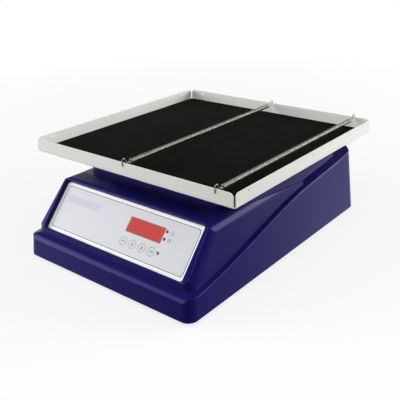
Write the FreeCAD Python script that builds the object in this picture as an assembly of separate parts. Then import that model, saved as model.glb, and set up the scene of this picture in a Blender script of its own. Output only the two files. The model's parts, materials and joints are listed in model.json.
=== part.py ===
import FreeCAD, Part
import math
import os
from FreeCAD import Vector

# A benchtop orbital platform shaker, in millimetres.
# X runs to the right, Y to the rear, Z up from the table; the origin is under the middle of the base.

# Housing, outside
BASE_WIDTH = 198.0
BASE_DEPTH = 282.0
FOOT_GAP = 4.0
WALL = 3.0
DRAFT = math.tan(math.radians(4.8))
FRONT_CORNER = 9.0
REAR_CORNER = 12.0
EDGE_ROUND = 1.5
FRONT_ROUND = 9.0
CUT_RELIEF = 0.1
TOUCH = 1e-3

# Side wings: the swooping edge that climbs from the front band to the rear
BAND_HEIGHT = 19.0
WING_START_HEIGHT = 25.0
WING_START_SETBACK = 43.0
WING_KNEE_HEIGHT = 51.5
WING_KNEE_REACH = 113.0
WING_REAR_HEIGHT = 57.5
WING_REAR_REACH = 53.0
WING_END_HEIGHT = 70.0
WING_RUN_OUT = 20.0
SIDE_LEDGE_SLOPE = 0.3
FRONT_LEDGE_SLOPE = 0.5
REAR_LEDGE_HEIGHT = 66.0
SHOULDER_HEIGHT = 71.0
CUT_REACH = 30.0

# Control face, deck and plateau
LEAF_INSET = 4.5
PLATEAU_INSET = 8.0
PANEL_MARGIN = 16.5
PANEL_LENGTH = 47.5
PANEL_SLOPE = 48.5
PANEL_SETBACK = 13.0
PANEL_RISE = 25.9
PANEL_RECESS = 4.8
FRAME_SETBACK = 6.5
FRAME_CORNER = 8.0
FRAME_ROUND = 4.0
CHEEK_WIDTH = 5.0
CHEEK_REACH = 12.0
BROW_ROUND = 11.0
POCKET_ROUND = 1.0
POCKET_CLEARANCE = 0.5
POCKET_CORNER = 3.0
DECK_HEIGHT = 67.0
DECK_LENGTH = 17.0
LEAF_TIP_SETBACK = 101.0
LEAF_TIP_HEIGHT = 57.5
PLATEAU_HEIGHT = 76.0
PLATEAU_FRONT_SETBACK = 67.0
PLATEAU_REAR_SETBACK = 22.0
PLATEAU_CORNER = 14.0
PLATEAU_ROUND = 4.0

# Base plate, feet and the screws that close the housing
PLATE = 2.5
PLATE_GAP = 0.4
FOOT_DIAMETER = 18.0
FOOT_STEM = 6.0
FOOT_EDGE = 1.0
FOOT_BARB = 1.0
FOOT_INSET_X = 21.0
FOOT_INSET_Y = 26.0
BOSS_DIAMETER = 10.0
BOSS_HEIGHT = 16.0
BOSS_INSET_X = 7.6
BOSS_INSET_Y = 27.0
SCREW = 4.0
SCREW_HEAD = 7.0
SCREW_HEAD_HEIGHT = 2.4
SCREW_CLEARANCE = 0.1

# Control panel pieces, placed from the lower middle of the overlay
OVERLAY = 0.8
DISPLAY_CENTRE = (26.2, 29.2)
DISPLAY_WIDTH = 39.5
DISPLAY_LENGTH = 13.6
DISPLAY_GAP = 0.15
KEY_DIAMETER = 8.0
KEY_STEM = 4.0
KEY_GAP = 0.15
KEY_TRAVEL = 0.4
KEY_LIFT = 0.5
KEY_CROWN = 0.3
KEY_ROW = 13.7
KEY_FIRST = 8.6
KEY_PITCH = 10.87
KEY_NAMES = ("key_mode", "key_up", "key_down", "key_start")
LAMP_DIAMETER = 2.6
LAMP_PLACES = ((48.0, 33.5), (48.0, 26.9), (48.0, 14.3))
LAMP_GAP = 0.1
LAMP_CROWN = 1.5
LAMP_EDGE = 0.6
LENS_DEPTH = 1.0
MODULE_MARGIN = 0.6
SWITCH_BODY = 6.0
SWITCH_BODY_HEIGHT = 3.5
PLUNGER = 3.2
PLUNGER_HEIGHT = 1.0
PLUNGER_GAP = 0.1
BOARD = 1.6
BOARD_DEPTH = 11.0
BOARD_WIDTH = 92.0
BOARD_LENGTH = 38.0
BOARD_CENTRE = (30.0, 23.75)
BOARD_POST = 6.0
BOARD_POST_INSET = 5.0
SMALL_SCREW = 2.5
SMALL_HEAD = 5.0
SMALL_HEAD_HEIGHT = 1.8

# Orbit: crank, idlers, bearings and tray carrier
ORBIT = 10.0
RUNNING_GAP = 0.05
FACE_GAP = 0.5
DECK_CLEARANCE = 1.0
ARM_THICKNESS = 4.0
PIN_DIAMETER = 6.0
PIN_BEARING = 19.0
PIN_BEARING_WIDTH = 6.0
CRANK_DISC = 46.0
MAIN_SHAFT = 10.0
IDLER_SHAFT = 6.0
IDLER_ARM = 18.0
IDLER_X = 62.0
IDLER_Y = 58.0
BUSH_DIAMETER = 12.0
BUSH_FLANGE = 18.0
BUSH_FLANGE_THICKNESS = 2.0
CARRIER_WEB = 4.0
CARRIER_HUB = 27.0
CARRIER_HEIGHT = 7.0
CARRIER_RIB = 22.0
PIN_COLLAR = 9.0
SHAFT_COLLAR = 14.0
COLLAR_GAP = 0.3
SHAFT_HOLE_GAP = 3.0
TRAY_SCREW_HEAD = 8.0

# Drive plate and main bearing housing, hung from the ceiling of the plateau
DRIVE_PLATE = 3.0
DRIVE_PLATE_DROP = 16.0
DRIVE_PLATE_WIDTH = 160.0
DRIVE_PLATE_LENGTH = 140.0
DRIVE_PLATE_CORNER = 12.0
DRIVE_BOSS_X = 73.0
DRIVE_BOSS_Y = 28.0
MAIN_BEARING = 26.0
MAIN_BEARING_WIDTH = 8.0
BEARING_SHOULDER = 2.5
HUB_WALL = 4.0
HUB_BELOW = 9.0
HUB_ABOVE = 13.5
FLANGE_WIDTH = 11.0
FLANGE = 4.0
BUSH_TAIL = 4.0
IDLER_TAIL = 2.0

# Belt drive and motor
BELT = 1.6
BELT_WIDTH = 6.0
BELT_GAP = 0.3
PULLEY_PITCH_RADIUS = 30.0
PULLEY_WIDTH = 9.0
MOTOR_PITCH_RADIUS = 7.5
PULLEY_FLANGE = 2.2
PULLEY_DROP = 1.0
MOTOR_X = 50.0
MOTOR_Y = 52.0
MOTOR_DIAMETER = 42.0
MOTOR_SHAFT = 5.0
MOTOR_BOSS = 16.0
MOTOR_LENGTH = 27.0
MOTOR_CHAMFER = 2.0
SHAFT_DEPTH = 14.0
BRACKET = 2.5
BRACKET_LENGTH = 54.0
BRACKET_FOOT = 12.0
BRACKET_GAP = 3.0
MOTOR_SCREW_SPACING = 29.0

# Electrical pieces on the base plate
CONTROL_BOARD_WIDTH = 118.0
CONTROL_BOARD_LENGTH = 52.0
CONTROL_BOARD_SETBACK = 66.0
STANDOFF = 6.0
STANDOFF_HEIGHT = 7.0
STANDOFF_INSET = 5.0
STANDOFF_PEG = 3.0
PEG_HEIGHT = 2.0
CAPACITOR = (12.0, 17.0)
CAPACITOR_PLACES = ((-34.0, -12.0), (-19.0, -12.0))
RELAY = (18.0, 11.0, 13.0)
RELAY_PLACE = (-30.0, 10.0)
TERMINALS = (44.0, 9.0, 10.0)
TERMINALS_PLACE = (24.0, -17.0)
HEAT_SINK = (34.0, 14.0, 16.0)
HEAT_SINK_PLACE = (18.0, 8.0)
HEAT_SINK_SPINE = 3.0
HEAT_SINK_FIN = 2.0
HEAT_SINK_FINS = 5
CORE_WIDTH = 52.0
CORE_LENGTH = 24.0
CORE_HEIGHT = 44.0
CORE_LEG = 9.0
CORE_X = -48.0
CORE_Y = 72.0
WINDING_SWELL = 9.0
WINDING_GAP = 0.3
STRAP = 1.0
STRAP_FOOT = 11.0

# Rear wall pieces, placed across the wall as seen from behind
REAR_ROW_HEIGHT = 30.0
REAR_RECESS = 4.0
RECESS_WIDTH = 148.0
RECESS_HEIGHT = 34.0
RECESS_CORNER = 5.0
INLET_X = -46.0
INLET_WIDTH = 28.0
INLET_HEIGHT = 20.5
INLET_DEPTH = 21.0
INLET_FLANGE = (49.0, 23.0, 2.5)
INLET_CORNER = 3.0
INLET_WALL = 2.0
INLET_SOCKET_DEPTH = 15.0
INLET_PIN = (2.0, 4.0, 9.0)
INLET_PIN_SPACING = 7.0
INLET_PIN_RISE = 2.5
FUSE_X = 8.0
FUSE_DIAMETER = 12.0
FUSE_CAP = 16.0
FUSE_CAP_HEIGHT = 3.6
FUSE_SLOT = (9.0, 1.6, 1.2)
FUSE_DEPTH = 24.0
SWITCH_X = 40.0
SWITCH_WIDTH = 13.0
SWITCH_HEIGHT = 19.5
SWITCH_DEPTH = 17.0
SWITCH_RIM = 1.6
SWITCH_RIM_HEIGHT = 2.0
SWITCH_WALL = 1.2
ROCKER_GAP = 0.35
ROCKER_TILT = 12.0
ROCKER_PIVOT_DEPTH = 1.0
ROCKER_PIN = 2.4
ROCKER_PIN_REACH = 0.8
ROCKER_DISH = 1.6
ROCKER_RISE = 4.0
ROCKER_KEEL = 4.0
SWITCH_POCKET = 8.0
CUTOUT_GAP = 0.2

# Tray, mat and retaining springs
TRAY_WIDTH = 230.0
TRAY_LENGTH = 230.0
TRAY_TOP = 105.0
RIM_HEIGHT = 12.5
SHEET = 1.0
RIM_BEND = 1.6
RIM_CORNER = 4.0
RIM_HOLE = 2.2
RIM_HOLE_DROP = 3.0
RIM_HOLE_SPREAD = 97.0
MAT = 1.4
MAT_GAP = 1.2
MAT_CORNER = 3.0
SPRING_PLACES = {"retaining_spring_middle": 0.0, "retaining_spring_right": RIM_HOLE_SPREAD}
SPRING_WIRE = 0.9
SPRING_OUTSIDE = 4.2
SPRING_TURNS = 30
SPRING_DROP = 1.5
SPRING_SETBACK = 8.0
HOOK_LEAD = 3.0
HOOK_WIDTH = 4.2
HOOK_RISE = 3.2
HOOK_BEND = 0.6
HOOK_TIP = 1.8
WIRE_SIDES = 4
STRAIGHT = 1e-6

# Sizes and heights above the table that several pieces share
PANEL_WIDTH = BASE_WIDTH - 2 * PANEL_MARGIN
DECK_Z = FOOT_GAP + DECK_HEIGHT
SHOULDER_Z = FOOT_GAP + SHOULDER_HEIGHT
PLATEAU_Z = FOOT_GAP + PLATEAU_HEIGHT
CEILING_Z = PLATEAU_Z - WALL
PLATE_TOP = FOOT_GAP + PLATE
DRIVE_Z = CEILING_Z - DRIVE_PLATE_DROP
ARM_Z = PLATEAU_Z + DECK_CLEARANCE
ARM_TOP = ARM_Z + ARM_THICKNESS
TRAY_Z = TRAY_TOP - RIM_HEIGHT
CARRIER_Z = TRAY_Z - CARRIER_HEIGHT
HUB_Z = DRIVE_Z - DRIVE_PLATE - HUB_BELOW
HUB_TOP = DRIVE_Z + HUB_ABOVE
PULLEY_TOP = HUB_Z - PULLEY_DROP
BELT_Z = PULLEY_TOP - PULLEY_WIDTH / 2
BRACKET_TOP = PULLEY_TOP - PULLEY_WIDTH - PULLEY_DROP
FRONT = -BASE_DEPTH / 2
REAR = BASE_DEPTH / 2
IDLER_AXES = {
    "idler_crank_front_left": (-IDLER_X, -IDLER_Y),
    "idler_crank_front_right": (IDLER_X, -IDLER_Y),
    "idler_crank_rear_left": (-IDLER_X, IDLER_Y),
    "idler_crank_rear_right": (IDLER_X, IDLER_Y),
}
PIN_AXES = [(0.0, 0.0)] + list(IDLER_AXES.values())
DRIVE_BOSSES = [(sx * DRIVE_BOSS_X, sy * DRIVE_BOSS_Y) for sx in (-1, 1) for sy in (-1, 1)]


def cylinder(diameter, height, x=0.0, y=0.0, z=0.0):
    return Part.makeCylinder(diameter / 2, height, Vector(x, y, z))


def block(width, length, height, x=0.0, y=0.0, z=0.0):
    """A box centred on x and y that stands on z."""
    return Part.makeBox(width, length, height, Vector(x - width / 2, y - length / 2, z))


def rounded_wire(corners, radii):
    """A closed wire through corners in one plane, each rounded by its own radius."""
    starts, middles, ends = [], [], []
    for i, (corner, radius) in enumerate(zip(corners, radii)):
        to_last = (corners[i - 1] - corner).normalize()
        to_next = (corners[(i + 1) % len(corners)] - corner).normalize()
        half = to_last.getAngle(to_next) / 2
        inward = (to_last + to_next).normalize()
        starts.append(corner + to_last * (radius / math.tan(half)))
        ends.append(corner + to_next * (radius / math.tan(half)))
        middles.append(corner + inward * (radius / math.sin(half) - radius))
    edges = []
    for i, radius in enumerate(radii):
        if radius > 0:
            edges.append(Part.Arc(starts[i], middles[i], ends[i]).toShape())
        after = starts[(i + 1) % len(starts)]
        if ends[i].distanceToPoint(after) > TOUCH:
            edges.append(Part.LineSegment(ends[i], after).toShape())
    return Part.Wire(edges)


def rounded_plate(width, length, height, radius, x=0.0, y=0.0, z=0.0):
    """A plate with rounded corners, centred on x and y, that stands on z."""
    corners = [
        Vector(x + sx * width / 2, y + sy * length / 2, z)
        for sx, sy in ((-1, -1), (1, -1), (1, 1), (-1, 1))
    ]
    return Part.Face(rounded_wire(corners, [radius] * 4)).extrude(Vector(0, 0, height))


def side_profile(points, half_width):
    """A solid across the machine from its outline in Y and Z."""
    corners = [Vector(-half_width, y, z) for y, z in points]
    face = Part.Face(Part.makePolygon(corners + corners[:1]))
    return face.extrude(Vector(2 * half_width, 0, 0))


def revolved(points, x=0.0, y=0.0):
    """A solid of revolution about a vertical axis from its radii and heights."""
    corners = [Vector(x + r, y, z) for r, z in points]
    face = Part.Face(Part.makePolygon(corners + corners[:1]))
    return face.revolve(Vector(x, y, 0), Vector(0, 0, 1), 360)


def frame_at(origin, across, up):
    """The placement whose local X and Y run along two given directions."""
    out = across.cross(up)
    return FreeCAD.Placement(
        FreeCAD.Matrix(
            across.x, up.x, out.x, origin.x,
            across.y, up.y, out.y, origin.y,
            across.z, up.z, out.z, origin.z,
            0, 0, 0, 1,
        )
    )


def panel_frame():
    """Local frame of the control panel: lower middle of the pocket floor, Z out of the face."""
    slope = math.radians(PANEL_SLOPE)
    origin = Vector(0, FRONT + PANEL_SETBACK, FOOT_GAP + PANEL_RISE)
    return frame_at(origin, Vector(1, 0, 0), Vector(0, math.cos(slope), math.sin(slope)))


def rear_frame():
    """Local frame of the rear wall at the height of its electrical pieces, Z out of the wall."""
    lean = math.atan(DRAFT)
    origin = Vector(0, REAR - REAR_ROW_HEIGHT * DRAFT, FOOT_GAP + REAR_ROW_HEIGHT)
    return frame_at(origin, Vector(-1, 0, 0), Vector(0, -math.sin(lean), math.cos(lean)))


def placed(shape, frame):
    """A copy of a shape modelled at the origin, moved into a local frame."""
    copy = shape.copy()
    copy.Placement = frame.multiply(copy.Placement)
    return copy


def along_panel(v, out):
    """Y and Z of a point on the panel, v up the slope and out of the face."""
    point = panel_frame().multVec(Vector(0, v, out))
    return point.y, point.z


def drafted_block(half_width, front, rear, corners, lower, upper):
    """A block whose walls lean inward by the moulding draft; sizes are those at its lower end."""
    wires = []
    radii = [corners[0], corners[0], corners[1], corners[1]]
    for z in (lower, upper):
        pull = (z - lower) * DRAFT
        x = half_width - pull
        points = [
            Vector(-x, front + pull, z),
            Vector(x, front + pull, z),
            Vector(x, rear - pull, z),
            Vector(-x, rear - pull, z),
        ]
        wires.append(rounded_wire(points, radii))
    return Part.makeLoft(wires, True, True)


def body_block(inset, upper):
    """The drafted block of the whole base, drawn in all round by an inset."""
    corners = (FRONT_CORNER - inset, REAR_CORNER - inset)
    return drafted_block(BASE_WIDTH / 2 - inset, FRONT + inset, REAR - inset, corners, FOOT_GAP, upper)


def side_ledge_cut(side, drop):
    """The space above the swooping edge of one side wing; its ledge climbs inward from the edge."""
    outer = BASE_WIDTH / 2 + CUT_REACH
    edge = BASE_WIDTH / 2 - WING_KNEE_HEIGHT * DRAFT
    low = FOOT_GAP - drop - (outer - edge) * SIDE_LEDGE_SLOPE
    points = [
        (FRONT - WING_RUN_OUT, BAND_HEIGHT),
        (FRONT + WING_START_SETBACK, WING_START_HEIGHT),
        (REAR - WING_KNEE_REACH, WING_KNEE_HEIGHT),
        (REAR - WING_REAR_REACH, WING_REAR_HEIGHT),
        (REAR + WING_RUN_OUT, WING_END_HEIGHT),
    ]
    path = [Vector(side * outer, y, low + z) for y, z in points]
    curve = Part.BSplineCurve()
    curve.interpolate(path)
    roof = PLATEAU_Z + outer
    over = [Vector(side * outer, y, roof) for y, _ in (points[-1], points[0])]
    sides = [
        Part.LineSegment(path[-1], over[0]).toShape(),
        Part.LineSegment(over[0], over[1]).toShape(),
        Part.LineSegment(over[1], path[0]).toShape(),
    ]
    face = Part.Face(Part.Wire([curve.toShape()] + sides))
    reach = BASE_WIDTH / 4
    return face.extrude(Vector(-side * reach, 0, reach * SIDE_LEDGE_SLOPE))


def rear_ledge_cut(drop):
    """The space above the rear ledge, which climbs inward from an edge across the base."""
    edge = REAR - REAR_LEDGE_HEIGHT * DRAFT
    z = FOOT_GAP + REAR_LEDGE_HEIGHT - drop
    outside, inside = edge + CUT_REACH, edge - CUT_REACH
    roof = PLATEAU_Z + CUT_REACH
    points = [
        (outside, z - SIDE_LEDGE_SLOPE * CUT_REACH),
        (inside, z + SIDE_LEDGE_SLOPE * CUT_REACH),
        (inside, roof),
        (outside, roof),
    ]
    return side_profile(points, BASE_WIDTH)


def front_ledge_cut(inset):
    """The space above the front ledge, which rolls over in a broad round to the front wall."""
    slope = FRONT_LEDGE_SLOPE
    edge = FRONT + BAND_HEIGHT * DRAFT
    level = FOOT_GAP + BAND_HEIGHT - inset * math.hypot(1, slope) - slope * edge
    wall = FRONT + inset - FOOT_GAP * DRAFT
    z = (level + slope * wall) / (1 - slope * DRAFT)
    y = wall + z * DRAFT
    outside, inside, roof = y - CUT_REACH, y + CUT_REACH, PLATEAU_Z + CUT_REACH
    left = -BASE_WIDTH / 2
    corners = [
        Vector(left, wall - CUT_RELIEF, 0),
        Vector(left, y, z),
        Vector(left, inside, z + slope * CUT_REACH),
        Vector(left, inside, roof),
        Vector(left, outside, roof),
        Vector(left, outside, 0),
    ]
    outline = rounded_wire(corners, [0, FRONT_ROUND - inset, 0, 0, 0, 0])
    return Part.Face(outline).extrude(Vector(BASE_WIDTH, 0, 0))


def skirt(inset):
    """The lower body with its side wings; an inset gives the hollow inside its wall."""
    side_drop = inset * math.hypot(1, SIDE_LEDGE_SLOPE)
    cuts = [
        side_ledge_cut(-1, side_drop),
        side_ledge_cut(1, side_drop),
        rear_ledge_cut(side_drop),
        front_ledge_cut(inset),
    ]
    return cut_all(body_block(inset, SHOULDER_Z - inset), cuts)


def rounded_skirt():
    """The outside of the lower body with a soft edge along the top of its wings and band."""
    shape = skirt(0.0)
    wall = body_block(0.0, SHOULDER_Z).Shells[0]
    edges = [e for e in shape.Edges if is_wing_edge(e, wall)]
    return shape.makeFillet(EDGE_ROUND, edges)


def is_wing_edge(edge, wall):
    """Whether an edge is where the outer wall meets a side or rear ledge."""
    start, end = edge.valueAt(edge.FirstParameter), edge.valueAt(edge.LastParameter)
    middle = edge.valueAt((edge.FirstParameter + edge.LastParameter) / 2)
    on_wall = wall.distToShape(Part.Vertex(middle))[0] < TOUCH
    climbs = abs(end.z - start.z) > math.hypot(end.x - start.x, end.y - start.y)
    behind = middle.y > FRONT + FRONT_CORNER
    return on_wall and behind and not climbs and FOOT_GAP < middle.z < SHOULDER_Z - TOUCH


def middle_cut(drop):
    """The space above the front ledge between the side wings, which the control face fills."""
    half = BASE_WIDTH / 2 - LEAF_INSET - PLATEAU_INSET - WALL
    floor = FOOT_GAP + BAND_HEIGHT + FRAME_SETBACK * FRONT_LEDGE_SLOPE - drop
    length = BASE_DEPTH - PLATEAU_REAR_SETBACK - 4 * WALL
    return Part.makeBox(2 * half, length, PLATEAU_Z, Vector(-half, FRONT, floor))


def brow(inset):
    """A long block with rounded upper corners, which softens the sides of the deck."""
    low = BASE_WIDTH / 2 - LEAF_INSET - inset + CUT_RELIEF
    top = DECK_Z - inset + CUT_RELIEF
    high = low - (top - FOOT_GAP) * DRAFT
    corners = [
        Vector(-low, FRONT, FOOT_GAP),
        Vector(low, FRONT, FOOT_GAP),
        Vector(high, FRONT, top),
        Vector(-high, FRONT, top),
    ]
    outline = rounded_wire(corners, [0, 0, BROW_ROUND - inset, BROW_ROUND - inset])
    return Part.Face(outline).extrude(Vector(0, BASE_DEPTH, 0))


def cheeks(inset, out):
    """A long block up the slope of the panel, whose sides roll over broadly from the frame to the leaves."""
    width, reach, deep = CHEEK_WIDTH - inset, CHEEK_REACH - inset, out - BASE_DEPTH
    wires = []
    for v in (-PANEL_LENGTH, BASE_DEPTH):

        def spot(side, pull, level):
            y, z = along_panel(v, level)
            half = BASE_WIDTH / 2 - LEAF_INSET - inset - (z - FOOT_GAP) * DRAFT + CUT_RELIEF
            return Vector(side * (half - pull), y, z)

        edges = [Part.makeLine(spot(-1, 0, deep), spot(1, 0, deep))]
        edges.append(Part.makeLine(spot(1, 0, deep), spot(1, 0, out - reach)))
        edges.append(bezier(spot(1, 0, out - reach), spot(1, 0, out), spot(1, width, out)))
        edges.append(Part.makeLine(spot(1, width, out), spot(-1, width, out)))
        edges.append(bezier(spot(-1, width, out), spot(-1, 0, out), spot(-1, 0, out - reach)))
        edges.append(Part.makeLine(spot(-1, 0, out - reach), spot(-1, 0, deep)))
        wires.append(Part.Wire(edges))
    return Part.makeLoft(wires, True, True)


def wedge(inset):
    """The control face, its deck and the leaf-shaped sides behind; an inset gives the hollow."""
    out = -inset if inset else PANEL_RECESS
    top = DECK_Z - inset
    rise = math.tan(math.radians(PANEL_SLOPE))
    face_y, face_z = along_panel(0.0, out)
    crest_y = face_y + (top - face_z) / rise
    tip_y = REAR - LEAF_TIP_SETBACK
    root = FOOT_GAP + BAND_HEIGHT / 2
    front = FRONT + FRAME_SETBACK + inset
    wall = front - CUT_RELIEF
    lip_z = (face_z + (wall - FOOT_GAP * DRAFT - face_y) * rise) / (1 - DRAFT * rise)
    left = -BASE_WIDTH / 2
    points = [
        Vector(left, wall, FOOT_GAP),
        Vector(left, wall + (lip_z - FOOT_GAP) * DRAFT, lip_z),
        Vector(left, crest_y, top),
        Vector(left, crest_y + DECK_LENGTH, top),
        Vector(left, tip_y, FOOT_GAP + LEAF_TIP_HEIGHT - inset),
        Vector(left, tip_y, FOOT_GAP),
    ]
    soft = FRAME_ROUND - inset
    outline = rounded_wire(points, [0, soft, soft, 0, 0, 0])
    profile = Part.Face(outline).extrude(Vector(BASE_WIDTH, 0, 0))
    corners = (FRAME_CORNER - inset, REAR_CORNER - inset)
    half_width = BASE_WIDTH / 2 - LEAF_INSET - inset
    body = drafted_block(half_width, front, REAR, corners, FOOT_GAP, PLATEAU_Z)
    above = block(BASE_WIDTH, 2 * BASE_DEPTH, PLATEAU_Z, z=root)
    return profile.common(body).common(above).common(brow(inset)).common(cheeks(inset, out))


def plateau(inset, root):
    """The raised block under the tray; an inset and a low root give the hollow of the base."""
    half_width = BASE_WIDTH / 2 - PLATEAU_INSET - (root - FOOT_GAP) * DRAFT - inset
    front = FRONT + PLATEAU_FRONT_SETBACK + inset
    rear = REAR - PLATEAU_REAR_SETBACK - inset
    corner = PLATEAU_CORNER - inset
    return drafted_block(half_width, front, rear, (corner, corner), root, PLATEAU_Z - inset)


def bezier(start, pole, end):
    """A soft turn that leaves its start and reaches its end along the lines to a pole."""
    curve = Part.BezierCurve()
    curve.setPoles([start, pole, end])
    return curve.toShape()


def cut_all(shape, tools):
    for tool in tools:
        shape = shape.cut(tool)
    return shape


def fuse_all(shapes):
    return shapes[0].multiFuse(shapes[1:]).removeSplitter()


def control_face():
    """The control face with its softened frame and the pocket that takes the overlay."""
    to_panel = panel_frame().inverse()

    def panel_point(edge):
        return to_panel.multVec(edge.valueAt((edge.FirstParameter + edge.LastParameter) / 2))

    def on_crest(edge):
        return abs(panel_point(edge).z - PANEL_RECESS) < TOUCH

    shape = wedge(0.0)
    pocket = rounded_plate(
        PANEL_WIDTH + 2 * POCKET_CLEARANCE,
        PANEL_LENGTH + 2 * POCKET_CLEARANCE,
        PANEL_LENGTH,
        POCKET_CORNER,
        y=PANEL_LENGTH / 2,
    )
    shape = shape.cut(placed(pocket, panel_frame()))
    half = PANEL_WIDTH / 2 + 2 * POCKET_CLEARANCE
    mouth = [e for e in shape.Edges if on_crest(e) and abs(panel_point(e).x) < half]
    return shape.makeFillet(POCKET_ROUND, mouth)


def rounded_plateau():
    """The raised block with a soft edge round its top."""
    shape = plateau(0.0, FOOT_GAP + WING_KNEE_HEIGHT - WALL)
    top = [e for e in shape.Edges if min(v.Z for v in e.Vertexes) > PLATEAU_Z - TOUCH]
    return shape.makeFillet(PLATEAU_ROUND, top)


def boss_places():
    """Centres of the six bosses that take the housing screws."""
    x = BASE_WIDTH / 2 - BOSS_INSET_X
    y = BASE_DEPTH / 2 - BOSS_INSET_Y
    return [(sx * x, sy * y) for sx in (-1, 1) for sy in (-1, 0, 1)]


def board_posts():
    """Places of the display board's posts, across and up the panel."""
    x = BOARD_WIDTH / 2 - BOARD_POST_INSET
    y = BOARD_LENGTH / 2 - BOARD_POST_INSET
    return [(BOARD_CENTRE[0] + sx * x, BOARD_CENTRE[1] + sy * y) for sx in (-1, 1) for sy in (-1, 1)]


def key_places():
    return {name: (KEY_FIRST + i * KEY_PITCH, KEY_ROW) for i, name in enumerate(KEY_NAMES)}


def panel_holes(key_hole, low, high):
    """Tools for the display, key and lamp openings through the panel between two depths."""
    height = high - low
    x, y = DISPLAY_CENTRE
    width, length = DISPLAY_WIDTH + 2 * DISPLAY_GAP, DISPLAY_LENGTH + 2 * DISPLAY_GAP
    tools = [block(width, length, height, x, y, low)]
    tools += [cylinder(key_hole, height, kx, ky, low) for kx, ky in key_places().values()]
    tools += [cylinder(LAMP_DIAMETER + 2 * LAMP_GAP, height, lx, ly, low) for lx, ly in LAMP_PLACES]
    return tools


def rear_holes():
    """Tools for the inlet, fuse and switch openings through the recessed rear panel."""
    depth, low, room = 3 * WALL, -2 * WALL, 2 * CUTOUT_GAP
    corner = INLET_CORNER + CUTOUT_GAP
    return [
        rounded_plate(INLET_WIDTH + room, INLET_HEIGHT + room, depth, corner, INLET_X, z=low),
        cylinder(FUSE_DIAMETER + room, depth, FUSE_X, z=low),
        block(SWITCH_WIDTH + room, SWITCH_HEIGHT + room, depth, SWITCH_X, z=low),
    ]


def recess_frame():
    """Local frame of the recessed floor of the rear panel."""
    return rear_frame().multiply(FreeCAD.Placement(Vector(0, 0, -REAR_RECESS), FreeCAD.Rotation()))


def housing():
    """The moulded upper shell: wings, control face, deck, plateau, bosses and every opening."""
    outside = fuse_all([rounded_skirt().cut(middle_cut(0.0)), control_face(), rounded_plateau()])
    hollow = fuse_all([skirt(WALL).cut(middle_cut(WALL)), wedge(WALL), plateau(WALL, FOOT_GAP)])
    bosses = [cylinder(BOSS_DIAMETER, BOSS_HEIGHT, x, y, PLATE_TOP) for x, y in boss_places()]
    drop = CEILING_Z + WALL / 2 - DRIVE_Z
    bosses += [cylinder(BOSS_DIAMETER, drop, x, y, DRIVE_Z) for x, y in DRIVE_BOSSES]
    posts = [cylinder(BOARD_POST, BOARD_DEPTH - WALL / 2, x, y, -BOARD_DEPTH) for x, y in board_posts()]
    bosses += [placed(post, panel_frame()) for post in posts]
    width, height, depth = RECESS_WIDTH + 2 * WALL, RECESS_HEIGHT + 2 * WALL, WALL + REAR_RECESS / 2
    backing = rounded_plate(width, height, depth, RECESS_CORNER + WALL, z=-WALL)
    bosses.append(placed(backing, recess_frame()))
    shell = fuse_all([outside.cut(hollow)] + bosses)

    screw_hole = SCREW + 2 * SCREW_CLEARANCE
    tools = [cylinder(screw_hole, BOSS_HEIGHT - WALL, x, y, PLATE_TOP) for x, y in boss_places()]
    tools += [cylinder(screw_hole, DRIVE_PLATE_DROP - WALL, x, y, DRIVE_Z) for x, y in DRIVE_BOSSES]
    tools.append(cylinder(SHAFT_COLLAR + 2 * SHAFT_HOLE_GAP, 3 * WALL, z=CEILING_Z - WALL))
    bush_hole = BUSH_DIAMETER + 2 * FACE_GAP
    tools += [cylinder(bush_hole, 3 * WALL, x, y, CEILING_Z - WALL) for x, y in IDLER_AXES.values()]
    small_hole = SMALL_SCREW + 2 * SCREW_CLEARANCE
    pilots = [cylinder(small_hole, BOARD_DEPTH - WALL, x, y, -BOARD_DEPTH) for x, y in board_posts()]
    on_panel = pilots + panel_holes(KEY_STEM + 2 * KEY_GAP, -2 * WALL, WALL)
    tools += [placed(tool, panel_frame()) for tool in on_panel]
    recess = rounded_plate(RECESS_WIDTH, RECESS_HEIGHT, 3 * REAR_RECESS, RECESS_CORNER)
    tools += [placed(tool, recess_frame()) for tool in rear_holes() + [recess]]
    return cut_all(shell, tools)


def foot_places():
    x = BASE_WIDTH / 2 - FOOT_INSET_X
    y = BASE_DEPTH / 2 - FOOT_INSET_Y
    return [(sx * x, sy * y) for sx in (-1, 1) for sy in (-1, 1)]


def bracket_screw_places():
    """Screws through the feet of the motor bracket."""
    x = MOTOR_DIAMETER / 2 + BRACKET_GAP + BRACKET + BRACKET_FOOT / 2
    y = BRACKET_LENGTH / 3
    return [(MOTOR_X + sx * x, MOTOR_Y + sy * y) for sx in (-1, 1) for sy in (-1, 1)]


def strap_screw_places():
    """Screws through the feet of the transformer strap."""
    x = CORE_WIDTH / 2 + STRAP + STRAP_FOOT / 2
    return [(CORE_X + sx * x, CORE_Y) for sx in (-1, 1)]


def standoff_places():
    x = CONTROL_BOARD_WIDTH / 2 - STANDOFF_INSET
    y = CONTROL_BOARD_LENGTH / 2 - STANDOFF_INSET
    middle = FRONT + CONTROL_BOARD_SETBACK
    return [(sx * x, middle + sy * y) for sx in (-1, 1) for sy in (-1, 1)]


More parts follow.
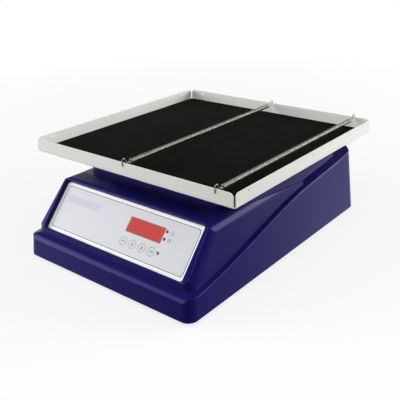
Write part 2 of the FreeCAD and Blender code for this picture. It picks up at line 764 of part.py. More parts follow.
def base_plate():
    """The steel plate that closes the housing from below."""
    inset = WALL + PLATE_GAP + PLATE * DRAFT
    corners = (FRONT_CORNER - inset, REAR_CORNER - inset)
    x, y = BASE_WIDTH / 2 - inset, BASE_DEPTH / 2 - inset
    points = [Vector(sx * x, sy * y, FOOT_GAP) for sx, sy in ((-1, -1), (1, -1), (1, 1), (-1, 1))]
    radii = [corners[0], corners[0], corners[1], corners[1]]
    plate = Part.Face(rounded_wire(points, radii)).extrude(Vector(0, 0, PLATE))
    hole = SCREW + 2 * SCREW_CLEARANCE
    tools = [cylinder(hole, PLATE, px, py, FOOT_GAP) for px, py in boss_places()]
    chassis = bracket_screw_places() + strap_screw_places()
    tools += [cylinder(hole, PLATE, px, py, FOOT_GAP) for px, py in chassis]
    stem = FOOT_STEM + 2 * SCREW_CLEARANCE
    tools += [cylinder(stem, PLATE, px, py, FOOT_GAP) for px, py in foot_places()]
    return cut_all(plate, tools)


def rubber_feet():
    """Four push-in feet: a tapered pad below the plate and a stem through it."""
    outer, stem = FOOT_DIAMETER / 2, FOOT_STEM / 2
    flat, tip = outer - FOOT_EDGE, PLATE_TOP + FOOT_BARB
    profile = [
        (0, 0), (flat, 0), (outer, FOOT_EDGE), (flat, FOOT_GAP), (stem, FOOT_GAP), (stem, tip), (0, tip),
    ]
    return [revolved(profile, x, y) for x, y in foot_places()]


def screw_up(x, y, seat, length):
    """A pan head screw whose head bears up against a seat."""
    return fuse_all([
        cylinder(SCREW_HEAD, SCREW_HEAD_HEIGHT, x, y, seat - SCREW_HEAD_HEIGHT),
        cylinder(SCREW, length, x, y, seat),
    ])


def screw_down(x, y, seat, length):
    """A pan head screw whose head bears down on a seat."""
    return fuse_all([
        cylinder(SCREW_HEAD, SCREW_HEAD_HEIGHT, x, y, seat),
        cylinder(SCREW, length, x, y, seat - length),
    ])


def housing_screws():
    length = PLATE + BOSS_HEIGHT - 2 * WALL
    return [screw_up(x, y, FOOT_GAP, length) for x, y in boss_places()]


def control_overlay():
    """The printed sheet in the panel pocket, with openings for display, keys and lamps."""
    corner = POCKET_CORNER - POCKET_CLEARANCE
    sheet = rounded_plate(PANEL_WIDTH, PANEL_LENGTH, OVERLAY, corner, y=PANEL_LENGTH / 2)
    return placed(cut_all(sheet, panel_holes(KEY_DIAMETER + 2 * KEY_GAP, 0, OVERLAY)), panel_frame())


def display_window():
    x, y = DISPLAY_CENTRE
    lens = block(DISPLAY_WIDTH, DISPLAY_LENGTH, OVERLAY + LENS_DEPTH, x, y, -LENS_DEPTH)
    return placed(lens, panel_frame())


def display_module():
    """The digit module behind the window, on the display board."""
    x, y = DISPLAY_CENTRE
    width, length = DISPLAY_WIDTH - 2 * MODULE_MARGIN, DISPLAY_LENGTH - 2 * MODULE_MARGIN
    return placed(block(width, length, BOARD_DEPTH - LENS_DEPTH, x, y, -BOARD_DEPTH), panel_frame())


def display_board():
    x, y = BOARD_CENTRE
    board = block(BOARD_WIDTH, BOARD_LENGTH, BOARD, x, y, -BOARD_DEPTH - BOARD)
    hole = SMALL_SCREW + 2 * SCREW_CLEARANCE
    holes = [cylinder(hole, BOARD, px, py, -BOARD_DEPTH - BOARD) for px, py in board_posts()]
    return placed(cut_all(board, holes), panel_frame())


def display_board_screws():
    back = -BOARD_DEPTH - BOARD
    length = BOARD + BOARD_DEPTH - 2 * WALL
    screws = []
    for x, y in board_posts():
        head = cylinder(SMALL_HEAD, SMALL_HEAD_HEIGHT, x, y, back - SMALL_HEAD_HEIGHT)
        screws.append(placed(fuse_all([head, cylinder(SMALL_SCREW, length, x, y, back)]), panel_frame()))
    return screws


def key_switches():
    """The switches on the display board, each with a plunger under its key."""
    switches = []
    for x, y in key_places().values():
        body = block(SWITCH_BODY, SWITCH_BODY, SWITCH_BODY_HEIGHT, x, y, -BOARD_DEPTH)
        plunger = cylinder(PLUNGER, PLUNGER_HEIGHT, x, y, SWITCH_BODY_HEIGHT - BOARD_DEPTH)
        switches.append(placed(fuse_all([body, plunger]), panel_frame()))
    return switches


def key(x, y):
    """One key: a crowned cap in the overlay and a stem down to its switch."""
    low = SWITCH_BODY_HEIGHT + PLUNGER_HEIGHT + KEY_TRAVEL + PLUNGER_GAP - BOARD_DEPTH
    cap, stem = KEY_DIAMETER / 2, KEY_STEM / 2
    profile = [
        (0, low), (stem, low), (stem, KEY_LIFT), (cap, KEY_LIFT),
        (cap, OVERLAY), (cap - KEY_CROWN, KEY_LIFT + KEY_CROWN), (0, KEY_LIFT + KEY_CROWN),
    ]
    return placed(revolved(profile, x, y), panel_frame())


def indicator_lamps():
    """Three lamps that stand on the display board and reach through the overlay."""
    radius = LAMP_DIAMETER / 2
    profile = [
        (0, -BOARD_DEPTH), (radius, -BOARD_DEPTH), (radius, LAMP_CROWN - LAMP_EDGE),
        (radius - LAMP_EDGE, LAMP_CROWN), (0, LAMP_CROWN),
    ]
    return [placed(revolved(profile, x, y), panel_frame()) for x, y in LAMP_PLACES]


def drive_plate():
    """The steel plate that carries the main bearing housing and the idler bushes."""
    low = DRIVE_Z - DRIVE_PLATE
    plate = rounded_plate(DRIVE_PLATE_WIDTH, DRIVE_PLATE_LENGTH, DRIVE_PLATE, DRIVE_PLATE_CORNER, z=low)
    hub = MAIN_BEARING + 2 * HUB_WALL + 2 * SCREW_CLEARANCE
    bush = BUSH_DIAMETER + 2 * RUNNING_GAP
    hole = SCREW + 2 * SCREW_CLEARANCE
    tools = [cylinder(hub, DRIVE_PLATE, z=low)]
    tools += [cylinder(bush, DRIVE_PLATE, x, y, low) for x, y in IDLER_AXES.values()]
    tools += [cylinder(hole, DRIVE_PLATE, x, y, low) for x, y in DRIVE_BOSSES + flange_screw_places()]
    return cut_all(plate, tools)


def flange_screw_places():
    reach = (MAIN_BEARING / 2 + HUB_WALL + FLANGE_WIDTH / 2) / math.sqrt(2)
    return [(sx * reach, sy * reach) for sx in (-1, 1) for sy in (-1, 1)]


def drive_plate_screws():
    length = DRIVE_PLATE + DRIVE_PLATE_DROP - 2 * WALL
    return [screw_up(x, y, DRIVE_Z - DRIVE_PLATE, length) for x, y in DRIVE_BOSSES]


def flange_screws():
    seat, length = DRIVE_Z - DRIVE_PLATE, DRIVE_PLATE + FLANGE
    return [screw_up(x, y, seat, length) for x, y in flange_screw_places()]


def bearing_housing():
    """The flanged hub on the drive plate, with a bearing seat at each end."""
    seat = MAIN_BEARING / 2 + RUNNING_GAP
    shoulder = MAIN_BEARING / 2 - BEARING_SHOULDER
    hub = MAIN_BEARING / 2 + HUB_WALL
    flange = hub + FLANGE_WIDTH
    profile = [
        (seat, HUB_Z), (hub, HUB_Z), (hub, DRIVE_Z), (flange, DRIVE_Z), (flange, DRIVE_Z + FLANGE),
        (hub, DRIVE_Z + FLANGE), (hub, HUB_TOP), (seat, HUB_TOP), (seat, HUB_TOP - MAIN_BEARING_WIDTH),
        (shoulder, HUB_TOP - MAIN_BEARING_WIDTH), (shoulder, HUB_Z + MAIN_BEARING_WIDTH),
        (seat, HUB_Z + MAIN_BEARING_WIDTH),
    ]
    hole = SCREW + 2 * SCREW_CLEARANCE
    tools = [cylinder(hole, FLANGE, x, y, DRIVE_Z) for x, y in flange_screw_places()]
    return cut_all(revolved(profile), tools)


def ring(outer, inner, height, x, y, z):
    return cylinder(outer, height, x, y, z).cut(cylinder(inner, height, x, y, z))


def shaft_bearings():
    bore = MAIN_SHAFT + 2 * RUNNING_GAP
    heights = (HUB_Z, HUB_TOP - MAIN_BEARING_WIDTH)
    return [ring(MAIN_BEARING, bore, MAIN_BEARING_WIDTH, 0, 0, z) for z in heights]


def idler_bushes():
    """Flanged bronze bushes in the drive plate, up through the plateau."""
    outer, flange, bore = BUSH_DIAMETER / 2, BUSH_FLANGE / 2, IDLER_SHAFT / 2 + RUNNING_GAP
    low, top = DRIVE_Z - DRIVE_PLATE - BUSH_TAIL, ARM_Z - COLLAR_GAP
    profile = [
        (bore, low), (outer, low), (outer, DRIVE_Z), (flange, DRIVE_Z),
        (flange, DRIVE_Z + BUSH_FLANGE_THICKNESS), (outer, DRIVE_Z + BUSH_FLANGE_THICKNESS),
        (outer, top), (bore, top),
    ]
    return [revolved(profile, x, y) for x, y in IDLER_AXES.values()]


def eccentric_pin(x, y):
    """The pin and its collar, one orbit radius behind a crank's axis."""
    bearing = CARRIER_Z + FACE_GAP
    top = TRAY_Z - FACE_GAP - COLLAR_GAP
    return [
        cylinder(PIN_COLLAR, bearing - COLLAR_GAP - ARM_TOP, x, y + ORBIT, ARM_TOP),
        cylinder(PIN_DIAMETER, top - ARM_TOP, x, y + ORBIT, ARM_TOP),
    ]


def crank_shaft():
    """The driven shaft, its eccentric disc and the pin that carries the tray round."""
    low = PULLEY_TOP - PULLEY_WIDTH
    shaft = cylinder(MAIN_SHAFT, ARM_Z - low, z=low)
    collar = cylinder(SHAFT_COLLAR, ARM_Z - HUB_TOP - COLLAR_GAP, z=HUB_TOP + COLLAR_GAP)
    disc = cylinder(CRANK_DISC, ARM_THICKNESS, z=ARM_Z)
    return fuse_all([shaft, collar, disc] + eccentric_pin(0, 0))


def idler_crank(x, y):
    """A free crank with the same throw as the driven one."""
    low = DRIVE_Z - DRIVE_PLATE - BUSH_TAIL - IDLER_TAIL
    shaft = cylinder(IDLER_SHAFT, ARM_Z - low, x, y, low)
    round_end, middle = IDLER_ARM / 2, y + ORBIT / 2
    arm = rounded_plate(IDLER_ARM, IDLER_ARM + ORBIT, ARM_THICKNESS, round_end, x, middle, ARM_Z)
    return fuse_all([shaft, arm] + eccentric_pin(x, y))


def pulley(pitch_radius, bore, x, y):
    """A flanged pulley for the flat belt."""
    rim = pitch_radius - BELT / 2 - BELT_GAP
    flange = pitch_radius + PULLEY_FLANGE
    low, top = PULLEY_TOP - PULLEY_WIDTH, PULLEY_TOP
    side = (PULLEY_WIDTH - BELT_WIDTH) / 2 - BELT_GAP
    inner = bore / 2 + RUNNING_GAP
    profile = [
        (inner, low), (flange, low), (flange, low + side), (rim, low + side),
        (rim, top - side), (flange, top - side), (flange, top), (inner, top),
    ]
    return revolved(profile, x, y)


def belt_outline(offset):
    """The loop of the belt round both pulleys, at an offset from the pitch line."""
    large, small = PULLEY_PITCH_RADIUS + offset, MOTOR_PITCH_RADIUS + offset
    motor = Vector(MOTOR_X, MOTOR_Y, 0)
    heading = math.atan2(MOTOR_Y, MOTOR_X)
    spread = math.acos((large - small) / motor.Length)
    low = Vector(0, 0, BELT_Z - BELT_WIDTH / 2)

    def point(centre, radius, angle):
        return low + centre + Vector(math.cos(angle), math.sin(angle), 0) * radius

    origin = Vector()
    left, right = heading + spread, heading - spread
    large_left, large_right = point(origin, large, left), point(origin, large, right)
    small_left, small_right = point(motor, small, left), point(motor, small, right)
    return Part.Wire([
        Part.Arc(large_left, point(origin, large, heading + math.pi), large_right).toShape(),
        Part.LineSegment(large_right, small_right).toShape(),
        Part.Arc(small_right, point(motor, small, heading), small_left).toShape(),
        Part.LineSegment(small_left, large_left).toShape(),
    ])


def drive_belt():
    outer = Part.Face(belt_outline(BELT / 2)).extrude(Vector(0, 0, BELT_WIDTH))
    inner = Part.Face(belt_outline(-BELT / 2)).extrude(Vector(0, 0, BELT_WIDTH))
    return outer.cut(inner)


def drive_motor():
    """The motor can with its front boss, hung under the bracket."""
    can, boss, bore = MOTOR_DIAMETER / 2, MOTOR_BOSS / 2, MOTOR_SHAFT / 2 + RUNNING_GAP
    seat = BRACKET_TOP - BRACKET
    low, edge = seat - MOTOR_LENGTH, MOTOR_CHAMFER
    profile = [
        (0, low), (can - edge, low), (can, low + edge), (can, seat - edge), (can - edge, seat),
        (boss, seat), (boss, BRACKET_TOP), (bore, BRACKET_TOP), (bore, seat - SHAFT_DEPTH),
        (0, seat - SHAFT_DEPTH),
    ]
    body = revolved(profile, MOTOR_X, MOTOR_Y)
    hole = SMALL_SCREW + 2 * SCREW_CLEARANCE
    return cut_all(body, [cylinder(hole, 2 * WALL, x, y, seat - 2 * WALL) for x, y in motor_screw_places()])


def motor_shaft():
    """The shaft from just above the bottom of its bore to the top of the motor pulley."""
    low = BRACKET_TOP - BRACKET - SHAFT_DEPTH + COLLAR_GAP
    return cylinder(MOTOR_SHAFT, PULLEY_TOP - low, MOTOR_X, MOTOR_Y, low)


def motor_screw_places():
    return [(MOTOR_X + side * MOTOR_SCREW_SPACING / 2, MOTOR_Y) for side in (-1, 1)]


def motor_screws():
    screws = []
    for x, y in motor_screw_places():
        head = cylinder(SMALL_HEAD, SMALL_HEAD_HEIGHT, x, y, BRACKET_TOP)
        shank = cylinder(SMALL_SCREW, BRACKET + WALL, x, y, BRACKET_TOP - BRACKET - WALL)
        screws.append(fuse_all([head, shank]))
    return screws


def hat_bracket(inner_width, thickness, foot, length, top, x, y):
    """A bent sheet bridge with a foot on each side, standing on the base plate."""
    inner, outer = inner_width / 2, inner_width / 2 + thickness
    foot_top = PLATE_TOP + thickness
    half = [(outer + foot, PLATE_TOP), (outer + foot, foot_top), (outer, foot_top), (outer, top)]
    under = [(inner, top - thickness), (inner, PLATE_TOP)]
    outline = half + [(-px, pz) for px, pz in reversed(half)]
    outline += [(-px, pz) for px, pz in reversed(under)] + under
    corners = [Vector(x + px, y - length / 2, pz) for px, pz in outline]
    return Part.Face(Part.makePolygon(corners + corners[:1])).extrude(Vector(0, length, 0))


def motor_bracket():
    inner_width, seat = MOTOR_DIAMETER + 2 * BRACKET_GAP, BRACKET_TOP - BRACKET
    shape = hat_bracket(inner_width, BRACKET, BRACKET_FOOT, BRACKET_LENGTH, BRACKET_TOP, MOTOR_X, MOTOR_Y)
    boss = MOTOR_BOSS + 2 * SCREW_CLEARANCE
    small = SMALL_SCREW + 2 * SCREW_CLEARANCE
    hole = SCREW + 2 * SCREW_CLEARANCE
    tools = [cylinder(boss, 2 * BRACKET, MOTOR_X, MOTOR_Y, seat)]
    tools += [cylinder(small, 2 * BRACKET, x, y, seat) for x, y in motor_screw_places()]
    tools += [cylinder(hole, BRACKET, x, y, PLATE_TOP) for x, y in bracket_screw_places()]
    return cut_all(shape, tools)


def chassis_screws():
    seats = [(x, y, BRACKET) for x, y in bracket_screw_places()]
    seats += [(x, y, STRAP) for x, y in strap_screw_places()]
    return [screw_down(x, y, PLATE_TOP + seat, seat + PLATE) for x, y, seat in seats]


def transformer_core():
    """A laminated core with a middle leg between two windows."""
    core = block(CORE_WIDTH, CORE_LENGTH, CORE_HEIGHT, CORE_X, CORE_Y, PLATE_TOP)
    window = (CORE_WIDTH - 4 * CORE_LEG) / 2
    reach = CORE_LEG + window / 2
    height = CORE_HEIGHT - 2 * CORE_LEG
    low = PLATE_TOP + CORE_LEG
    cuts = [block(window, CORE_LENGTH, height, CORE_X + side * reach, CORE_Y, low) for side in (-1, 1)]
    return cut_all(core, cuts)


def transformer_winding():
    """The winding round the middle leg, which swells out of both faces of the core."""
    window = (CORE_WIDTH - 4 * CORE_LEG) / 2
    width = 2 * CORE_LEG + 2 * window - 2 * WINDING_GAP
    height = CORE_HEIGHT - 2 * CORE_LEG - 2 * WINDING_GAP
    z = PLATE_TOP + CORE_LEG + WINDING_GAP
    length = CORE_LENGTH + 2 * WINDING_SWELL
    coil = rounded_plate(width, length, height, WINDING_SWELL / 2, CORE_X, CORE_Y, z)
    leg = block(2 * CORE_LEG + 2 * WINDING_GAP, CORE_LENGTH + 2 * WINDING_GAP, height, CORE_X, CORE_Y, z)
    return coil.cut(leg)


def transformer_strap():
    """The steel strap that holds the core down."""
    top = PLATE_TOP + CORE_HEIGHT + WINDING_GAP + STRAP
    inner_width = CORE_WIDTH + 2 * WINDING_GAP
    shape = hat_bracket(inner_width, STRAP, STRAP_FOOT, CORE_LENGTH / 2, top, CORE_X, CORE_Y)
    hole = SCREW + 2 * SCREW_CLEARANCE
    return cut_all(shape, [cylinder(hole, STRAP, x, y, PLATE_TOP) for x, y in strap_screw_places()])


def control_board():
    """The control board with its heat sink, capacitors, relay and terminal strip."""
    z = PLATE_TOP + STANDOFF_HEIGHT
    middle = FRONT + CONTROL_BOARD_SETBACK
    board = block(CONTROL_BOARD_WIDTH, CONTROL_BOARD_LENGTH, BOARD, 0, middle, z)
    hole = STANDOFF_PEG + 2 * SCREW_CLEARANCE
    board = cut_all(board, [cylinder(hole, BOARD, x, y, z) for x, y in standoff_places()])
    top = z + BOARD
    parts = [board]
    parts += [cylinder(*CAPACITOR, x, middle + y, top) for x, y in CAPACITOR_PLACES]
    parts.append(block(*RELAY, RELAY_PLACE[0], middle + RELAY_PLACE[1], top))
    parts.append(block(*TERMINALS, TERMINALS_PLACE[0], middle + TERMINALS_PLACE[1], top))
    width, length, height = HEAT_SINK
    sink_x, sink_y = HEAT_SINK_PLACE[0], middle + HEAT_SINK_PLACE[1]
    parts.append(block(width, HEAT_SINK_SPINE, height, sink_x, sink_y, top))
    pitch = (width - HEAT_SINK_FIN) / (HEAT_SINK_FINS - 1)
    for i in range(HEAT_SINK_FINS):
        fin_x = sink_x + pitch * (i - (HEAT_SINK_FINS - 1) / 2)
        parts.append(block(HEAT_SINK_FIN, length, height, fin_x, sink_y, top))
    return fuse_all(parts)


def board_standoffs():
    """Snap standoffs: a pillar on the base plate and a peg through the control board."""
    peg = BOARD + PEG_HEIGHT
    return [
        fuse_all([
            cylinder(STANDOFF, STANDOFF_HEIGHT, x, y, PLATE_TOP),
            cylinder(STANDOFF_PEG, peg, x, y, PLATE_TOP + STANDOFF_HEIGHT),
        ])
        for x, y in standoff_places()
    ]


def mains_inlet():
    """The three-pin appliance inlet in the recessed rear panel."""
    flange_width, flange_height, flange = INLET_FLANGE
    body = rounded_plate(INLET_WIDTH, INLET_HEIGHT, INLET_DEPTH, INLET_CORNER, INLET_X, z=-INLET_DEPTH)
    rim = rounded_plate(flange_width, flange_height, flange, INLET_CORNER, INLET_X)
    half_width, half_height = INLET_WIDTH / 2 - INLET_WALL, INLET_HEIGHT / 2 - INLET_WALL
    notch = half_height / 2
    floor = flange - INLET_SOCKET_DEPTH
    outline = [
        (-half_width, -half_height), (half_width, -half_height),
        (half_width, half_height - notch), (half_width - notch, half_height),
        (notch - half_width, half_height), (-half_width, half_height - notch),
    ]
    corners = [Vector(INLET_X + x, y, floor) for x, y in outline]
    face = Part.Face(Part.makePolygon(corners + corners[:1]))
    socket = face.extrude(Vector(0, 0, 2 * INLET_SOCKET_DEPTH))
    pin_width, pin_height, pin_length = INLET_PIN
    low_pins = [(side * INLET_PIN_SPACING, -INLET_PIN_RISE) for side in (-1, 1)]
    pins = [
        block(pin_width, pin_height, pin_length + WALL, INLET_X + x, y, floor - WALL)
        for x, y in low_pins + [(0, INLET_PIN_RISE)]
    ]
    return placed(fuse_all([fuse_all([body, rim]).cut(socket)] + pins), recess_frame())


def fuse_holder():
    """The panel fuse holder with its slotted cap and a nut behind the wall."""
    cap = cylinder(FUSE_CAP, FUSE_CAP_HEIGHT, FUSE_X)
    width, height, depth = FUSE_SLOT
    cap = cap.cut(block(width, height, depth, FUSE_X, z=FUSE_CAP_HEIGHT - depth))
    barrel = cylinder(FUSE_DIAMETER, FUSE_DEPTH, FUSE_X, z=-FUSE_DEPTH)
    nut = cylinder(FUSE_CAP, WALL, FUSE_X, z=-2 * WALL)
    return placed(fuse_all([cap, barrel, nut]), recess_frame())


def switch_frame():
    """The frame of the power switch: a rim outside, a box inside and pivot holes in its cheeks."""
    width, height = SWITCH_WIDTH + 2 * SWITCH_RIM, SWITCH_HEIGHT + 2 * SWITCH_RIM
    rim = rounded_plate(width, height, SWITCH_RIM_HEIGHT, SWITCH_RIM, SWITCH_X)
    body = block(SWITCH_WIDTH, SWITCH_HEIGHT, SWITCH_DEPTH, SWITCH_X, z=-SWITCH_DEPTH)
    inner_width, inner_height = SWITCH_WIDTH - 2 * SWITCH_WALL, SWITCH_HEIGHT - 2 * SWITCH_WALL
    pocket = block(inner_width, inner_height, 2 * SWITCH_POCKET, SWITCH_X, z=-SWITCH_POCKET)
    reach = SWITCH_WIDTH / 2 - SWITCH_WALL + ROCKER_PIN_REACH + 2 * RUNNING_GAP
    pivot = rocker_pin(ROCKER_PIN + 2 * RUNNING_GAP, reach)
    return placed(cut_all(fuse_all([rim, body]), [pocket, pivot]), recess_frame())


def rocker_pin(diameter, reach):
    """A bar along the rocker's pivot, a reach to each side."""
    centre = Vector(SWITCH_X - reach, 0, -ROCKER_PIVOT_DEPTH)
    return Part.makeCylinder(diameter / 2, 2 * reach, centre, Vector(1, 0, 0))


def power_rocker():
    """The dished rocker, tipped to its off side."""
    half = SWITCH_WIDTH / 2 - SWITCH_WALL - ROCKER_GAP
    swing = SWITCH_HEIGHT / 2 - SWITCH_WALL - ROCKER_GAP
    end = math.sqrt(swing ** 2 - ROCKER_RISE ** 2)
    outline = [
        (-end, ROCKER_RISE), (-end, 0), (-end / 2, -ROCKER_KEEL), (end / 2, -ROCKER_KEEL), (end, 0),
        (end, ROCKER_RISE), (0, ROCKER_RISE - ROCKER_DISH),
    ]
    corners = [Vector(SWITCH_X - half, y, z - ROCKER_PIVOT_DEPTH) for y, z in outline]
    paddle = Part.Face(Part.makePolygon(corners + corners[:1])).extrude(Vector(2 * half, 0, 0))
    shape = fuse_all([paddle, rocker_pin(ROCKER_PIN, half + ROCKER_GAP + ROCKER_PIN_REACH)])
    shape.rotate(Vector(SWITCH_X, 0, -ROCKER_PIVOT_DEPTH), Vector(1, 0, 0), ROCKER_TILT)
    return placed(shape, recess_frame())


def rim(length, reach):
    """One turned-up rim along X at a reach in front of the middle: bend, wall and hook holes."""
    half = length / 2 - RIM_BEND
    low, face = TRAY_Z + RIM_BEND, -reach
    corners = [
        Vector(-half, face, low), Vector(half, face, low),
        Vector(half, face, TRAY_TOP), Vector(-half, face, TRAY_TOP),
    ]
    outline = rounded_wire(corners, [0, 0, RIM_CORNER, RIM_CORNER])
    wall = Part.Face(outline).extrude(Vector(0, SHEET, 0))
    centre = Vector(-half, face + RIM_BEND, low)
    along = Vector(1, 0, 0)
    bend = Part.makeCylinder(RIM_BEND, 2 * half, centre, along)
    bend = bend.cut(Part.makeCylinder(RIM_BEND - SHEET, 2 * half, centre, along))
    bend = bend.common(Part.makeBox(2 * half, RIM_BEND, RIM_BEND, Vector(-half, face, TRAY_Z)))
    holes = [
        Part.makeCylinder(RIM_HOLE / 2, SHEET, Vector(x, face, TRAY_TOP - RIM_HOLE_DROP), Vector(0, 1, 0))
        for x in (-RIM_HOLE_SPREAD, 0.0, RIM_HOLE_SPREAD)
    ]
    return cut_all(fuse_all([wall, bend]), holes)


def tray_screw_places():
    return [(x / 2, y / 2 + ORBIT) for x, y in IDLER_AXES.values()]


def tray():
    """The sheet steel tray, one orbit radius behind the middle, with four rims open at the corners."""
    floor = block(TRAY_WIDTH - 2 * RIM_BEND, TRAY_LENGTH - 2 * RIM_BEND, SHEET, z=TRAY_Z)
    rims = []
    for turn in range(4):
        across, along = (TRAY_WIDTH, TRAY_LENGTH) if turn % 2 == 0 else (TRAY_LENGTH, TRAY_WIDTH)
        side = rim(across, along / 2)
        side.rotate(Vector(), Vector(0, 0, 1), 90 * turn)
        rims.append(side)
    shape = fuse_all([floor] + rims)
    shape.translate(Vector(0, ORBIT, 0))
    hole = TRAY_SCREW_HEAD + 2 * SCREW_CLEARANCE
    return cut_all(shape, [cylinder(hole, SHEET, x, y, TRAY_Z) for x, y in tray_screw_places()])


def tray_mat():
    margin = 2 * (SHEET + MAT_GAP)
    width, length = TRAY_WIDTH - margin, TRAY_LENGTH - margin
    return rounded_plate(width, length, MAT, MAT_CORNER, 0, ORBIT, TRAY_Z + SHEET)


def tray_carrier():
    """The cast cross under the tray, with a bearing hub at the middle and at the end of each arm."""
    web = TRAY_Z - CARRIER_WEB
    pieces = [cylinder(CARRIER_HUB, CARRIER_HEIGHT, x, y, CARRIER_Z) for x, y in PIN_AXES]
    length = 2 * math.hypot(IDLER_X, IDLER_Y)
    heading = math.degrees(math.atan2(IDLER_Y, IDLER_X))
    for angle in (heading, -heading):
        arm = block(length, CARRIER_RIB, CARRIER_WEB, z=web)
        arm.rotate(Vector(), Vector(0, 0, 1), angle)
        pieces.append(arm)
    shape = fuse_all(pieces)
    seat, depth = PIN_BEARING + 2 * RUNNING_GAP, CARRIER_HEIGHT - FACE_GAP
    tools = [cylinder(seat, depth, x, y, CARRIER_Z) for x, y in PIN_AXES]
    hole = SCREW + 2 * SCREW_CLEARANCE
    tools += [cylinder(hole, CARRIER_WEB, x / 2, y / 2, web) for x, y in IDLER_AXES.values()]
    shape = cut_all(shape, tools)
    shape.translate(Vector(0, ORBIT, 0))
    return shape


def carrier_bearings():
    bore, low = PIN_DIAMETER + 2 * RUNNING_GAP, CARRIER_Z + FACE_GAP
    return [ring(PIN_BEARING, bore, PIN_BEARING_WIDTH, x, y + ORBIT, low) for x, y in PIN_AXES]


def tray_screws():
    """Flat head screws, flush with the tray floor under the mat."""
    return [
        fuse_all([
            cylinder(TRAY_SCREW_HEAD, SHEET, x, y, TRAY_Z),
            cylinder(SCREW, CARRIER_WEB, x, y, TRAY_Z - CARRIER_WEB),
        ])
        for x, y in tray_screw_places()
    ]


def arc_from(start, heading, end):
    """The arc that leaves a start along a heading and runs to an end; a line where they are in line."""
    chord = end - start
    turn = heading.getAngle(chord)
    if turn < STRAIGHT:
        return Part.LineSegment(start, end).toShape()
    side = (chord - heading * heading.dot(chord)).normalize()
    radius = chord.Length / (2 * math.sin(turn))
    middle = start + heading * (radius * math.sin(turn)) + side * (radius * (1 - math.cos(turn)))
    return Part.Arc(start, middle, end).toShape()


def biarc(start, heading, end, leaving):
    """Two tangent arcs from a start along a heading to an end that leaves along another."""
    span = end - start
    both = heading + leaving
    spare = 2 * (1 - heading.dot(leaving))
    reach = span.dot(both)
    if heading.getAngle(leaving) < STRAIGHT:
        d = span.dot(span) / (4 * span.dot(leaving))
    else:
        d = (math.sqrt(reach ** 2 + spare * span.dot(span)) - reach) / spare
    joint = (start + end + (heading - leaving) * d) / 2
    first = arc_from(start, heading, joint)
    arrival = first.tangentAt(first.LastParameter)
    return [first, arc_from(joint, arrival, end)]


def hook(x, face, inward):
    """Edges of a spring's end from its tip in a rim hole, over the rim and down to the coil's axis."""
    hole, axis = TRAY_TOP - RIM_HOLE_DROP, TRAY_TOP - SPRING_DROP
    crown = TRAY_TOP + HOOK_RISE
    outside = -SPRING_WIRE / 2 - RUNNING_GAP
    middle, inside = outside + HOOK_WIDTH / 2, outside + HOOK_WIDTH
    shoulder = crown - HOOK_WIDTH / 2
    lead = SHEET + SPRING_SETBACK - HOOK_LEAD
    turn = lead - inside

    def point(q, z):
        return Vector(x, face + inward * q, z)

    def line(start, end):
        return Part.LineSegment(point(*start), point(*end)).toShape()

    def arc(start, heading, end):
        return arc_from(point(*start), Vector(0, inward * heading[0], heading[1]), point(*end))

    return [
        line((HOOK_TIP, hole), (outside + HOOK_BEND, hole)),
        arc((outside + HOOK_BEND, hole), (-1, 0), (outside, hole + HOOK_BEND)),
        line((outside, hole + HOOK_BEND), (outside, shoulder)),
        arc((outside, shoulder), (0, 1), (middle, crown)),
        arc((middle, crown), (1, 0), (inside, shoulder)),
        line((inside, shoulder), (inside, axis + turn)),
        arc((inside, axis + turn), (0, -1), (lead, axis)),
    ]


def spring_path(x):
    """The whole line of a spring's wire: front hook, turns of the coil, rear hook."""
    front, rear = ORBIT - TRAY_LENGTH / 2, ORBIT + TRAY_LENGTH / 2
    setback = SHEET + SPRING_SETBACK
    radius = (SPRING_OUTSIDE - SPRING_WIRE) / 2
    axis = TRAY_TOP - SPRING_DROP
    pitch = (TRAY_LENGTH - 2 * setback) / SPRING_TURNS

    def place(turns):
        angle = 2 * math.pi * turns
        along = front + setback + pitch * turns
        return Vector(x + radius * math.cos(angle), along, axis + radius * math.sin(angle))

    def heading(turns):
        angle = 2 * math.pi * turns
        rate = 2 * math.pi * radius
        return Vector(-rate * math.sin(angle), pitch, rate * math.cos(angle)).normalize()

    ahead = Vector(0, 1, 0)
    lead = setback - HOOK_LEAD
    edges = hook(x, front, 1)
    edges += biarc(Vector(x, front + lead, axis), ahead, place(0), heading(0))
    for half_turn in range(2 * SPRING_TURNS):
        turns = half_turn / 2
        edges += biarc(place(turns), heading(turns), place(turns + 0.5), heading(turns + 0.5))
    edges += biarc(place(SPRING_TURNS), heading(SPRING_TURNS), Vector(x, rear - lead, axis), ahead)
    edges += list(reversed(hook(x, rear, -1)))
    return Part.Wire(edges)


def least_gap(path):
    """The least clear distance between stretches of one wire, measured on points along it."""
    points = path.discretize(Number=int(path.Length / SPRING_WIRE))
    apart = 4
    return min(
        points[i].distanceToPoint(points[j]) - SPRING_WIRE
        for i in range(len(points))
        for j in range(i + apart, len(points))
    )


def retaining_spring(x):
    """One extension spring, an unbroken wire hooked into the front and rear rims."""
    path = spring_path(x)
    print(f"spring at {x:g}: wire {path.Length:.1f} long, least gap to itself {least_gap(path):.2f}")
    start = path.Edges[0].Vertexes[0].Point
    corners = []
    for i in range(WIRE_SIDES):
        angle = 2 * math.pi * (i + 0.5) / WIRE_SIDES
        corners.append(start + Vector(math.cos(angle), 0, math.sin(angle)) * (SPRING_WIRE / 2))
    section = Part.makePolygon(corners + corners[:1])
    return path.makePipeShell([section], True, False)


